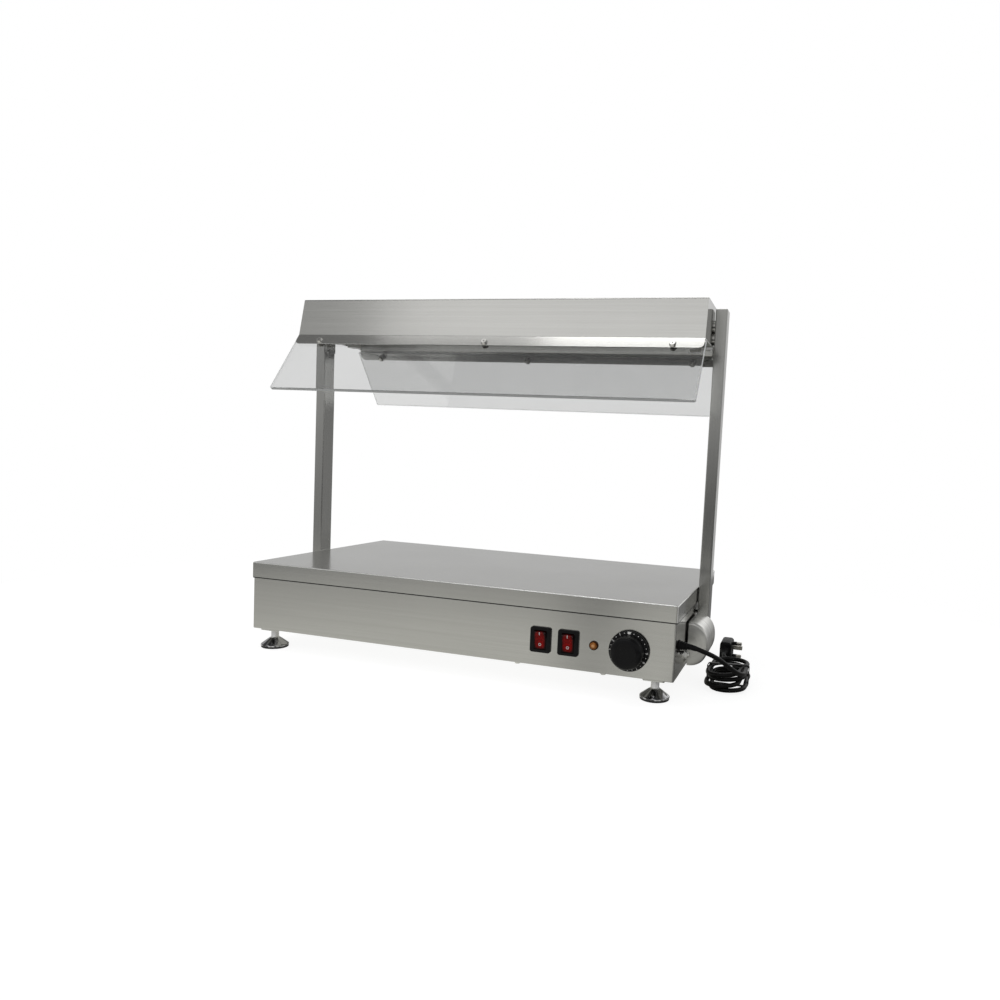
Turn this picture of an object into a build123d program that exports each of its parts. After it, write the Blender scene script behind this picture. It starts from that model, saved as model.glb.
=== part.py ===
import os
from math import asin, atan, cos, pi, radians, sin, sqrt, tan

from build123d import *

os.makedirs("parts", exist_ok=True)

# Driving dimensions in millimetres, with zero at the centre of the warm top

# Base
top_width = 580.0
top_depth = 320.0
top_drop = 20.0
top_sheet = 1.2
top_corner = 2.5
top_edge = 1.5
body_width = 577.0
body_depth = 317.0
body_sheet = 1.0
body_corner = 2.2
body_bottom = -90.0
body_bottom_edge = 0.8
body_top_flange = 12.0
body_bottom_flange = 8.0
cover_sheet = 1.0
cover_gap = 1.0

# Feet
foot_x = 264.5
foot_y = 143.5
foot_plate_size = 26.0
foot_plate_thick = 2.0
foot_bush_radius = 8.0
foot_bush_top = -78.0
foot_bush_clear = 0.4
foot_stem_radius = 5.0
foot_fit = 0.05
foot_stem_top = -60.0
foot_neck = -103.0
foot_rim_top = -112.0
foot_rim_bottom = -113.2
foot_rim_radius = 18.0
foot_pad_radius = 17.5
floor = -116.0

# Controls
switch_x = (125.0, 160.0)
switch_z = -58.0
bezel_width = 26.0
bezel_height = 31.0
bezel_thick = 3.0
bezel_round = 3.0
switch_body_width = 21.6
switch_body_height = 28.0
switch_body_depth = 16.0
switch_cut_gap = 0.2
window_width = 15.4
window_height = 23.6
window_depth = 12.5
rocker_radius = 11.5
rocker_width = 14.8
rocker_pivot = 3.5
rocker_lip = 5.5
rocker_ridge = 4.0
rocker_back = 6.0
rocker_tilt = 10.0
trunnion_radius = 1.5
trunnion_reach = 9.4
trunnion_pocket = 9.6
trunnion_fit = 0.05
lamp_x = 191.5
lamp_z = -57.5
lamp_lens_radius = 5.6
lamp_body_radius = 4.8
lamp_body_length = 22.0
lamp_hole_radius = 5.0
knob_x = 234.6
knob_z = -58.4
knob_gap = 1.6
knob_skirt_radius = 24.0
knob_cap_radius = 20.0
knob_reach = 21.0
spindle_radius = 3.0
spindle_fit = 0.05
spindle_inside = 12.0
spindle_outside = 15.0
spindle_hole_radius = 4.0
thermostat_width = 36.0
thermostat_depth = 34.0

# Heater
element_radius = 4.0
element_z = -6.2
element_run = 240.0
element_pitch = 60.0
element_bend = 25.0
clamp_x = (-180.0, 0.0, 180.0)
clamp_width = 16.0
clamp_length = 240.0
clamp_thick = 1.5
clamp_top = -10.3
clamp_stud_radius = 2.5
clamp_stud_y = (-60.0, 0.0, 60.0)
insulation_length = 540.0
insulation_depth = 270.0
insulation_top = -16.0
insulation_thick = 12.0
tray_half = 279.0
tray_sheet = 0.8
bulb_radius = 3.0
bulb_start = 40.0
bulb_end = 140.0
bulb_y = 60.0
bulb_z = -5.5
capillary_radius = 0.8
capillary_z = -13.9
capillary_bend = 6.0

# Right side of the base
gland_y = -135.0
gland_z = -51.0
gland_hole_radius = 5.0
gland_reach = 11.5
gland_bottom = 2.0
bond_y = -127.0
bond_z = -63.0
bond_radius = 3.0
bond_reach = 11.5
bond_hole_radius = 3.2
hidden_cover_front = -80.0
hidden_cover_sheet = 1.2
hidden_cover_round = 4.0
block_length = 50.0
block_depth = 22.0
block_height = 18.0
block_x = 250.0
block_y = -89.0

# Gantry
post_width = 15.0
post_depth = 25.0
post_wall = 1.2
post_round = 1.5
post_inner = 290.5
post_bottom = -88.0
post_top = 362.0
cap_thick = 1.5
cap_plug_depth = 8.0
cap_plug_gap = 0.2
spacer_radius = 8.0
bolt_radius = 3.0
bolt_hole_radius = 3.2
bolt_head_radius = 5.5
bolt_head_height = 3.5
bolt_reach = 6.5
nut_across = 10.0
nut_height = 4.5
base_bolt_z = (-40.0, -75.0)
hood_bolt_z = (325.0, 341.0)
hood_half = 288.5
hood_sheet = 1.0
fold_radius = 1.2
hood_top_z = 365.7
hood_top_y = 65.4
hood_crease_y = 76.3
hood_crease_z = 315.0
flange_angle = 36.0
flange_length = 16.7
flange_round = 7.0
hood_end_sheet = 1.2
bracket_reach = 11.5
bracket_drop = 16.0
bracket_width = 22.0
bracket_sheet = 1.6
reflector_sheet = 0.6
reflector_points = ((-62.0, 322.0), (-45.0, 348.0), (45.0, 348.0), (62.0, 322.0))
heat_lamp_radius = 5.5
heat_lamp_y = 20.0
heat_lamp_z = 322.0
heat_lamp_half = 255.0
holder_length = 14.0
holder_width = 16.0
holder_bottom = 309.0

# Glass
glass_half = 290.0
glass_top = 3.0
glass_bottom = 98.0
glass_thick = 5.0
glass_corner = 2.0
screw_x = (-250.0, 0.0, 250.0)
screw_down = 11.0
screw_radius = 2.4
screw_hole_radius = 2.6
screw_head_radius = 4.6
screw_head_height = 2.6
screw_length = 12.0
screw_nut_across = 8.0
screw_nut_height = 4.0
screw_nut_fit = 0.05

# Cord
cord_diameter = 5.6
hank_x = 340.0
hank_y = -46.0
hank_length = 40.0
hank_fold = 23.0
hank_step = 6.8
hank_waist = 4.0
hank_layer = 6.3
hank_turns = 4
hank_base = -111.5
tie_sheet = 0.9
tie_width = 7.0
tie_gap = 0.6
plug_x = 323.0
plug_y = 61.0
plug_z = -99.5
plug_thick = 18.0
plug_length = 38.0
plug_width = 33.0
plug_round = 4.0
plug_sleeve = 9.0
plug_sleeve_small = 3.6
plug_sleeve_large = 5.6
pin_reach = 13.0
pin_spread = 9.0
pin_near = 13.0
pin_far = 27.0
pin_wide = 6.0
pin_thin = 4.0

front = -body_depth / 2
side = body_width / 2
cord_radius = cord_diameter / 2


def save(builder, name):
    builder.part.label = name
    export_step(builder.part, f"parts/{name}.step")


def front_plane(x, z, y=front):
    return Plane(origin=(x, y, z), x_dir=(1, 0, 0), z_dir=(0, -1, 0))


def side_plane(y, z, x=side):
    return Plane(origin=(x, y, z), x_dir=(0, 1, 0), z_dir=(1, 0, 0))


def sheet_outline(points, thickness):
    # Closed outline of a folded sheet, thickened to the right of the points as listed
    inner = []
    normals = []
    for (ay, az), (by, bz) in zip(points, points[1:]):
        length = sqrt((by - ay) ** 2 + (bz - az) ** 2)
        normals.append(((bz - az) / length, -(by - ay) / length))
    for index, (y, z) in enumerate(points):
        before = normals[max(index - 1, 0)]
        after = normals[min(index, len(normals) - 1)]
        share = 1 + before[0] * after[0] + before[1] * after[1]
        inner.append((
            y + thickness * (before[0] + after[0]) / share,
            z + thickness * (before[1] + after[1]) / share,
        ))
    return list(points) + inner[::-1]


def near(places):
    # Picks the corners of a sketch that lie on one of the given places
    return lambda v: any(abs(v.Y - y) < 0.01 and abs(v.Z - z) < 0.01 for y, z in places)


def corner_radii(points):
    radii = []
    for a, b, c in zip(points, points[1:], points[2:]):
        before = Vector(*b) - Vector(*a)
        after = Vector(*c) - Vector(*b)
        half_turn = radians(before.get_angle(after)) / 2
        radii.append(0.45 * min(before.length, after.length) / tan(half_turn))
    return radii


def cord_tube(name, points):
    radii = corner_radii(points)
    with BuildPart() as tube:
        with BuildLine() as route:
            FilletPolyline(*points, radius=radii)
        wire = route.wires()[0]
        with BuildSketch(Plane(origin=wire @ 0, z_dir=wire % 0)):
            Circle(cord_radius)
        sweep(path=wire)
    even = pi * cord_radius ** 2 * wire.length
    print(name, "tightest radius", round(min(radii), 1), "length", round(wire.length, 1),
          "volume share", round(tube.part.volume / even, 4))
    save(tube, name)
    return wire.length


def arc_middle(start, corner, end):
    # Middle of the arc that leaves start and reaches end along the two sides of a corner
    middle = (start + end) * 0.5
    rise = (corner - middle).length
    half = (end - start).length / 2
    if rise < 1e-6:
        return None
    return middle + (corner - middle) * (half * tan(atan(rise / half) / 2) / rise)


def biarc(start, start_way, end, end_way):
    # Two tangent arcs between two points with given directions, as (start, middle, end)
    span = end - start
    ways = start_way + end_way
    spread = 2 * (1 - start_way.dot(end_way))
    along = span.dot(ways)
    if spread < 1e-9:
        reach = span.dot(span) / (4 * span.dot(end_way))
    else:
        reach = (sqrt(along ** 2 + spread * span.dot(span)) - along) / spread
    first = start + start_way * reach
    second = end - end_way * reach
    joint = (first + second) * 0.5
    return (
        (start, arc_middle(start, first, joint), joint),
        (joint, arc_middle(joint, second, end), end),
    )


# Warm top
with BuildPart() as top_plate:
    with BuildSketch(Plane.XY.offset(-top_drop)):
        RectangleRounded(top_width, top_depth, top_corner)
    extrude(amount=top_drop)
    fillet(top_plate.faces().sort_by(Axis.Z)[-1].edges(), top_edge)
    with BuildSketch(Plane.XY.offset(-top_drop)):
        RectangleRounded(
            top_width - 2 * top_sheet, top_depth - 2 * top_sheet, top_corner - top_sheet
        )
    extrude(amount=top_drop - top_sheet, mode=Mode.SUBTRACT)
save(top_plate, "top_plate")

# Base body
foot_places = [(-foot_x, -foot_y), (foot_x, -foot_y), (-foot_x, foot_y), (foot_x, foot_y)]
cover_screw_y = body_depth / 2 - body_sheet - body_bottom_flange / 2
cover_screw_x = body_width / 2 - body_sheet - body_bottom_flange / 2
cover_screw_places = [
    (94.4, -cover_screw_y), (203.3, -cover_screw_y), (94.4, cover_screw_y),
    (203.3, cover_screw_y), (-cover_screw_x, -80), (-cover_screw_x, 80),
    (cover_screw_x, -80), (cover_screw_x, 80),
]
cover_screw_radius = 2.0
cover_screw_clear = 0.2
cover_screw_head = 3.5
cover_screw_head_height = 2.2
body_inner_width = body_width - 2 * body_sheet
body_inner_depth = body_depth - 2 * body_sheet

with BuildPart() as base_body:
    with BuildSketch(Plane.XY.offset(body_bottom)):
        RectangleRounded(body_width, body_depth, body_corner)
    extrude(amount=-top_sheet - body_bottom)
    fillet(base_body.faces().sort_by(Axis.Z)[0].edges(), body_bottom_edge)
    with BuildSketch(Plane.XY.offset(body_bottom + body_sheet)):
        RectangleRounded(body_inner_width, body_inner_depth, body_corner - body_sheet)
    extrude(amount=-top_sheet - 2 * body_sheet - body_bottom, mode=Mode.SUBTRACT)
    with BuildSketch(Plane.XY.offset(-top_sheet - body_sheet)):
        Rectangle(
            body_inner_width - 2 * body_top_flange, body_inner_depth - 2 * body_top_flange
        )
    extrude(amount=body_sheet, mode=Mode.SUBTRACT)
    with BuildSketch(Plane.XY.offset(body_bottom)):
        Rectangle(
            body_inner_width - 2 * body_bottom_flange,
            body_inner_depth - 2 * body_bottom_flange,
        )
        with Locations(*foot_places):
            Circle(foot_bush_radius + foot_bush_clear)
        with Locations(*cover_screw_places):
            Circle(cover_screw_radius + cover_screw_clear)
    extrude(amount=body_sheet, mode=Mode.SUBTRACT)
    with BuildSketch(front_plane(0, 0)):
        with Locations(*[(x, switch_z) for x in switch_x]):
            Rectangle(
                switch_body_width + 2 * switch_cut_gap, switch_body_height + 2 * switch_cut_gap
            )
        with Locations((lamp_x, lamp_z)):
            Circle(lamp_hole_radius)
        with Locations((knob_x, knob_z)):
            Circle(spindle_hole_radius)
    extrude(amount=-body_sheet, mode=Mode.SUBTRACT)
    with BuildSketch(side_plane(0, 0)):
        with Locations((gland_y, gland_z)):
            Circle(gland_hole_radius)
        with Locations((bond_y, bond_z)):
            Circle(bond_hole_radius)
    extrude(amount=-body_sheet, mode=Mode.SUBTRACT)
    with BuildSketch(side_plane(0, 0)):
        with Locations(*[(0, z) for z in base_bolt_z]):
            Circle(bolt_hole_radius)
    extrude(amount=-body_width, mode=Mode.SUBTRACT)
save(base_body, "base_body")

# Bottom cover
with BuildPart() as bottom_cover:
    with BuildSketch(Plane.XY.offset(body_bottom + body_sheet)):
        RectangleRounded(
            body_inner_width - 2 * cover_gap, body_inner_depth - 2 * cover_gap, body_corner
        )
        with Locations(*foot_places):
            Circle(foot_bush_radius + foot_bush_clear, mode=Mode.SUBTRACT)
        with Locations(*cover_screw_places):
            Circle(cover_screw_radius + cover_screw_clear, mode=Mode.SUBTRACT)
    extrude(amount=cover_sheet)
save(bottom_cover, "bottom_cover")

cover_screw_length = 6.0
with BuildPart() as cover_screws:
    with BuildSketch(Plane.XY.offset(body_bottom - cover_screw_head_height)):
        with Locations(*cover_screw_places):
            Circle(cover_screw_head)
    extrude(amount=cover_screw_head_height)
    fillet(cover_screws.edges().group_by(Axis.Z)[0], cover_screw_head_height * 0.6)
    with BuildSketch(Plane.XY.offset(body_bottom)):
        with Locations(*cover_screw_places):
            Circle(cover_screw_radius)
    extrude(amount=cover_screw_length)
save(cover_screws, "bottom_cover_screws")

# Feet
foot_names = ["front_left", "front_right", "rear_left", "rear_right"]
for foot_name, (x, y) in zip(foot_names, foot_places):
    with BuildPart() as foot_plate:
        with BuildSketch(Plane((x, y, body_bottom - foot_plate_thick))):
            RectangleRounded(foot_plate_size, foot_plate_size, foot_plate_thick)
        extrude(amount=foot_plate_thick)
        with BuildSketch(Plane((x, y, body_bottom))):
            Circle(foot_bush_radius)
        extrude(amount=foot_bush_top - body_bottom)
        with BuildSketch(Plane((x, y, body_bottom - foot_plate_thick))):
            Circle(foot_stem_radius + foot_fit)
        extrude(amount=foot_bush_top - body_bottom + foot_plate_thick, mode=Mode.SUBTRACT)
    save(foot_plate, f"foot_plate_{foot_name}")

    foot_axis = Plane(origin=(x, y, 0), x_dir=(1, 0, 0), z_dir=(0, -1, 0))
    with BuildPart() as foot:
        with BuildSketch(foot_axis):
            with BuildLine():
                Polyline(
                    (0, foot_rim_bottom), (foot_rim_radius, foot_rim_bottom),
                    (foot_rim_radius, foot_rim_top),
                )
                Spline(
                    (foot_rim_radius, foot_rim_top), (foot_stem_radius + 4.0, foot_neck - 2.4),
                    (foot_stem_radius, foot_neck),
                    tangents=[(-1, 0.45), (-0.35, 1)],
                )
                Polyline(
                    (foot_stem_radius, foot_neck), (foot_stem_radius, foot_stem_top - 1.0),
                    (foot_stem_radius - 1.0, foot_stem_top), (0, foot_stem_top),
                    (0, foot_rim_bottom),
                )
            make_face()
        revolve(axis=Axis((x, y, 0), (0, 0, 1)))
    save(foot, f"foot_{foot_name}")

    with BuildPart() as foot_pad:
        with BuildSketch(Plane((x, y, floor))):
            Circle(foot_pad_radius)
        extrude(amount=foot_rim_bottom - floor)
        fillet(foot_pad.edges().group_by(Axis.Z)[0], 1.0)
    save(foot_pad, f"foot_pad_{foot_name}")

# Heater under the warm top
element_rows = [element_pitch * step for step in (-1.5, -0.5, 0.5, 1.5)]
element_points = []
for row, y in enumerate(element_rows):
    ends = [element_run, -element_run] if row % 2 == 0 else [-element_run, element_run]
    element_points += [(x, y, element_z) for x in ends]
with BuildPart() as heating_element:
    with BuildLine() as element_route:
        FilletPolyline(*element_points, radius=element_bend)
    with BuildSketch(Plane(origin=element_route.line @ 0, z_dir=element_route.line % 0)):
        Circle(element_radius)
    sweep(path=element_route.line)
save(heating_element, "heating_element")

with BuildPart() as element_clamps:
    with BuildSketch(Plane.XY.offset(clamp_top - clamp_thick)):
        with Locations(*[(x, 0) for x in clamp_x]):
            RectangleRounded(clamp_width, clamp_length, 2.0)
    extrude(amount=clamp_thick)
    with BuildSketch(Plane.XY.offset(clamp_top)):
        with Locations(*[(x, y) for x in clamp_x for y in clamp_stud_y]):
            Circle(clamp_stud_radius)
    extrude(amount=-top_sheet - clamp_top)
save(element_clamps, "element_clamps")

insulation_bottom = insulation_top - insulation_thick
with BuildPart() as insulation_board:
    with BuildSketch(Plane.XY.offset(insulation_bottom)):
        Rectangle(insulation_length, insulation_depth)
    extrude(amount=insulation_thick)
save(insulation_board, "insulation_board")

tray_top = -top_sheet - body_sheet
tray_points = [
    (-tray_half, tray_top), (-tray_half, insulation_bottom - tray_sheet),
    (tray_half, insulation_bottom - tray_sheet), (tray_half, tray_top),
]
with BuildPart() as insulation_tray:
    with BuildSketch(Plane.XZ.offset(-insulation_depth / 2)):
        Polygon(*sheet_outline(tray_points, -tray_sheet), align=None)
    extrude(amount=insulation_depth)
save(insulation_tray, "insulation_tray")

# Thermostat
thermostat_back = front + body_sheet
thermostat_top = knob_z + thermostat_width / 2
with BuildPart() as thermostat_body:
    with BuildSketch(front_plane(knob_x, knob_z, thermostat_back)):
        RectangleRounded(thermostat_width, thermostat_width, 3.0)
    extrude(amount=-thermostat_depth)
    with BuildSketch(front_plane(knob_x, knob_z, thermostat_back)):
        Circle(spindle_radius + spindle_fit)
    extrude(amount=-spindle_inside - 1.0, mode=Mode.SUBTRACT)
save(thermostat_body, "thermostat_body")

capillary_points = [
    (bulb_end, bulb_y, bulb_z), (bulb_end + 14, bulb_y, bulb_z),
    (bulb_end + 14, bulb_y - 16, capillary_z), (knob_x + 11, bulb_y - 60, capillary_z),
    (knob_x + 11, -142, capillary_z), (knob_x + 11, -142, thermostat_top),
]
with BuildPart() as thermostat_bulb:
    with BuildSketch(Plane(origin=(bulb_start, bulb_y, bulb_z), z_dir=(1, 0, 0))):
        Circle(bulb_radius)
    extrude(amount=bulb_end - bulb_start)
    with BuildLine() as capillary_route:
        FilletPolyline(*capillary_points, radius=capillary_bend)
    with BuildSketch(Plane(origin=capillary_route.line @ 0, z_dir=capillary_route.line % 0)):
        Circle(capillary_radius)
    sweep(path=capillary_route.line)
save(thermostat_bulb, "thermostat_bulb")

with BuildPart() as thermostat_spindle:
    with BuildSketch(front_plane(knob_x, knob_z, thermostat_back + spindle_inside)):
        Circle(spindle_radius)
    extrude(amount=spindle_inside + body_sheet + spindle_outside)
save(thermostat_spindle, "thermostat_spindle")

knob_side = Plane(origin=(knob_x, front, knob_z), x_dir=(1, 0, 0), z_dir=(0, 0, 1))
knob_bore = spindle_radius + 0.02
with BuildPart() as thermostat_knob:
    with BuildSketch(knob_side):
        with BuildLine():
            Polyline(
                (knob_bore, -knob_gap), (knob_skirt_radius - 0.6, -knob_gap),
                (knob_skirt_radius, -knob_gap - 0.6), (knob_skirt_radius, -4.0),
                (knob_skirt_radius - 0.6, -4.6), (knob_cap_radius + 0.4, -5.8),
                (knob_cap_radius, -6.2), (knob_cap_radius - 1.0, -15.5),
            )
            Spline(
                (knob_cap_radius - 1.0, -15.5), (knob_cap_radius - 2.6, -18.9),
                (knob_cap_radius - 7.0, -knob_reach + 0.4), (0, -knob_reach),
                tangents=[(-0.108, -1), (-1, 0)],
            )
            Polyline(
                (0, -knob_reach), (0, -spindle_outside - 0.3),
                (knob_bore, -spindle_outside - 0.3), (knob_bore, -knob_gap),
            )
        make_face()
    revolve(axis=Axis((knob_x, front, knob_z), (0, 1, 0)))
save(thermostat_knob, "thermostat_knob")

# Switches
for side_name, x in zip(["left", "right"], switch_x):
    bezel_front = front - bezel_thick
    pivot_y = bezel_front + rocker_pivot
    with BuildPart() as switch_housing:
        with BuildSketch(front_plane(x, switch_z)):
            RectangleRounded(bezel_width, bezel_height, bezel_round)
        extrude(amount=bezel_thick)
        fillet(switch_housing.faces().sort_by(Axis.Y)[0].edges(), 0.8)
        with BuildSketch(front_plane(x, switch_z)):
            Rectangle(switch_body_width, switch_body_height)
        extrude(amount=-switch_body_depth)
        with BuildSketch(front_plane(x, switch_z, bezel_front)):
            Rectangle(window_width, window_height)
        extrude(amount=-window_depth, mode=Mode.SUBTRACT)
        with BuildSketch(side_plane(pivot_y, switch_z, x - trunnion_pocket)):
            Circle(trunnion_radius + trunnion_fit)
        extrude(amount=2 * trunnion_pocket, mode=Mode.SUBTRACT)
    save(switch_housing, f"switch_housing_{side_name}")

    tilt = radians(rocker_tilt)
    lip_z = sqrt(rocker_radius ** 2 - rocker_lip ** 2)
    face_points = [(-rocker_lip, lip_z), (-rocker_ridge, 0), (-rocker_lip, -lip_z)]
    far = 3 * rocker_radius
    cut_points = [(-far, far)] + face_points + [(-far, -far)]
    turned = [
        (y * cos(tilt) - z * sin(tilt), y * sin(tilt) + z * cos(tilt)) for y, z in cut_points
    ]
    with BuildPart() as switch_rocker:
        with BuildSketch(side_plane(pivot_y, switch_z, x - rocker_width / 2)):
            Circle(rocker_radius)
            Polygon(*turned, align=None, mode=Mode.SUBTRACT)
            with Locations((rocker_back + far / 2, 0)):
                Rectangle(far, 2 * far, mode=Mode.SUBTRACT)
        extrude(amount=rocker_width)
        with BuildSketch(side_plane(pivot_y, switch_z, x - trunnion_reach)):
            Circle(trunnion_radius)
        extrude(amount=2 * trunnion_reach)
    save(switch_rocker, f"switch_rocker_{side_name}")

# Indicator lamp
with BuildPart() as lamp_body:
    with BuildSketch(front_plane(lamp_x, lamp_z)):
        Circle(lamp_body_radius)
    extrude(amount=-lamp_body_length)
save(lamp_body, "indicator_body")

dome_radius = 4.4
dome_base = 2.6
dome_rise = 1.8
dome_ball = (dome_radius ** 2 + dome_rise ** 2) / (2 * dome_rise)
dome_half = asin(dome_radius / dome_ball) / 2
dome_middle = (
    dome_ball * sin(dome_half), dome_ball * (1 - cos(dome_half)) - dome_base - dome_rise
)
lens_side = Plane(origin=(lamp_x, front, lamp_z), x_dir=(1, 0, 0), z_dir=(0, 0, 1))
with BuildPart() as lamp_lens:
    with BuildSketch(lens_side):
        with BuildLine():
            Polyline(
                (0, 0), (lamp_lens_radius, 0), (lamp_lens_radius, -1.2),
                (lamp_lens_radius - 0.5, -1.7), (dome_radius, -1.7), (dome_radius, -dome_base),
            )
            ThreePointArc((dome_radius, -dome_base), dome_middle, (0, -dome_base - dome_rise))
            Line((0, -dome_base - dome_rise), (0, 0))
        make_face()
    revolve(axis=Axis((lamp_x, front, lamp_z), (0, 1, 0)))
save(lamp_lens, "indicator_lens")

# Cable gland, bonding terminal and terminal block
gland_axis = Plane(origin=(side, gland_y, gland_z), x_dir=(1, 0, 0), z_dir=(0, -1, 0))
with BuildPart() as cable_gland:
    with BuildSketch(gland_axis):
        Polygon(
            (-5.0, 0), (-5.0, 7.0), (-body_sheet, 7.0), (-body_sheet, 4.8), (0, 4.8), (0, 7.2),
            (2.2, 7.2), (2.8, 6.6), (7.0, 6.2), (10.4, 5.4), (gland_reach, 4.6),
            (gland_reach, cord_radius + 0.8), (6.0, cord_radius + 0.25),
            (gland_bottom, cord_radius + 0.25), (gland_bottom, 0),
            align=None,
        )
    revolve(axis=Axis((0, gland_y, gland_z), (1, 0, 0)))
save(cable_gland, "cable_gland")

with BuildPart() as bonding_terminal:
    with BuildSketch(side_plane(bond_y, bond_z, side - 8.0)):
        Circle(bond_radius)
    extrude(amount=8.0 + bond_reach)
    with BuildSketch(side_plane(bond_y, bond_z)):
        Circle(5.6)
    extrude(amount=1.0)
    with BuildSketch(side_plane(bond_y, bond_z, side + 1.0)):
        RegularPolygon(5.2, 6)
    extrude(amount=4.2)
    with BuildSketch(side_plane(bond_y, bond_z, side + 5.2)):
        Circle(5.0)
    extrude(amount=0.8)
    with BuildSketch(side_plane(bond_y, bond_z, side + 6.0)):
        RegularPolygon(4.9, 6, rotation=20)
    extrude(amount=3.6)
    with BuildSketch(side_plane(bond_y, bond_z, side - body_sheet)):
        RegularPolygon(5.2, 6)
    extrude(amount=-4.0)
save(bonding_terminal, "bonding_terminal")

block_bottom = body_bottom + body_sheet + cover_sheet
with BuildPart() as terminal_block:
    with BuildSketch(Plane((block_x, block_y, block_bottom))):
        RectangleRounded(block_length, block_depth, 2.0)
    extrude(amount=block_height)
    with BuildSketch(Plane((block_x, block_y, block_bottom + block_height))):
        with GridLocations(16, 10, 3, 2):
            Circle(3.4)
    extrude(amount=2.0)
save(terminal_block, "terminal_block")

# Wiring cover in front of the right post
hidden_cover_back = -post_depth / 2
hidden_cover_top = (post_inner, -34.5)
hidden_cover_shoulder = (side + 18.0, -46.0)
hidden_cover_belly = (side + 27.5, -71.0)
hidden_cover_under = (side + 14.0, -85.5)
hidden_cover_foot = (post_inner, -89.2)
with BuildPart() as wiring_cover:
    with BuildSketch(Plane.XZ.offset(-hidden_cover_back)):
        with BuildLine():
            shoulder = Line(hidden_cover_top, hidden_cover_shoulder)
            bulge = TangentArc(hidden_cover_shoulder, hidden_cover_belly, tangent=shoulder % 1)
            TangentArc(hidden_cover_belly, hidden_cover_under, tangent=bulge % 1)
            Polyline(hidden_cover_under, hidden_cover_foot, hidden_cover_top)
        make_face()
    extrude(amount=hidden_cover_back - hidden_cover_front)
    front_face = wiring_cover.faces().sort_by(Axis.Y)[0]
    rim = front_face.edges().filter_by(lambda e: e.center().X > post_inner + 0.1)
    fillet(rim, hidden_cover_round)
    wall_face = wiring_cover.faces().sort_by(Axis.X)[0]
    offset(amount=-hidden_cover_sheet, openings=wall_face)
save(wiring_cover, "wiring_cover")

# Posts
post_centre = post_inner + post_width / 2
bolt_heights = list(base_bolt_z) + list(hood_bolt_z)
for post_name, sign in (("left", -1), ("right", 1)):
    with BuildPart() as post:
        with BuildSketch(Plane((sign * post_centre, 0, post_bottom))):
            RectangleRounded(post_width, post_depth, post_round)
            Rectangle(post_width - 2 * post_wall, post_depth - 2 * post_wall, mode=Mode.SUBTRACT)
        extrude(amount=post_top - cap_thick - post_bottom)
        with BuildSketch(Plane(origin=(sign * post_inner, 0, 0), x_dir=(0, 1, 0), z_dir=(1, 0, 0))):
            with Locations(*[(0, z) for z in bolt_heights]):
                Circle(bolt_hole_radius)
        extrude(amount=sign * post_wall, mode=Mode.SUBTRACT)
    save(post, f"post_{post_name}")

cap_gap = 2 * (post_wall + cap_plug_gap)
with BuildPart() as post_caps:
    with BuildSketch(Plane.XY.offset(post_top - cap_thick)):
        with Locations((-post_centre, 0), (post_centre, 0)):
            RectangleRounded(post_width, post_depth, post_round)
    extrude(amount=cap_thick)
    fillet(post_caps.edges().group_by(Axis.Z)[-1], 0.6)
    with BuildSketch(Plane.XY.offset(post_top - cap_thick - cap_plug_depth)):
        with Locations((-post_centre, 0), (post_centre, 0)):
            Rectangle(post_width - cap_gap, post_depth - cap_gap)
    extrude(amount=cap_plug_depth)
save(post_caps, "post_caps")

with BuildPart() as spacer_washers:
    for start_x in (-post_inner, side):
        with BuildSketch(side_plane(0, 0, start_x)):
            with Locations(*[(0, z) for z in bolt_heights]):
                Circle(spacer_radius)
                Circle(bolt_hole_radius, mode=Mode.SUBTRACT)
        extrude(amount=post_inner - side)
save(spacer_washers, "spacer_washers")

head_seats = {z: side - body_sheet for z in base_bolt_z}
head_seats.update({z: hood_half - hood_end_sheet for z in hood_bolt_z})
with BuildPart() as gantry_bolts:
    for sign in (-1, 1):
        for z, seat in head_seats.items():
            with BuildSketch(side_plane(0, z, sign * seat)):
                Circle(bolt_head_radius)
            extrude(amount=-sign * bolt_head_height)
            with BuildSketch(side_plane(0, z, sign * seat)):
                Circle(bolt_radius)
            extrude(amount=sign * (post_inner + bolt_reach - seat))
            with BuildSketch(side_plane(0, z, sign * (post_inner + post_wall))):
                RegularPolygon(nut_across / 2, 6, major_radius=False)
            extrude(amount=sign * nut_height)
save(gantry_bolts, "gantry_bolts")

# Hood
lean = radians(flange_angle)
flange_y = hood_crease_y + flange_length * sin(lean)
flange_z = hood_crease_z - flange_length * cos(lean)
hood_points = [
    (-flange_y, flange_z), (-hood_crease_y, hood_crease_z), (-hood_top_y, hood_top_z),
    (hood_top_y, hood_top_z), (hood_crease_y, hood_crease_z), (flange_y, flange_z),
]


def slope_plane(sign):
    # On the outside of the glass flange, with local Y up the slope from the crease
    return Plane(
        origin=(0, -sign * hood_crease_y, hood_crease_z),
        x_dir=(sign, 0, 0),
        z_dir=(0, -sign * cos(lean), sin(lean)),
    )


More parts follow.
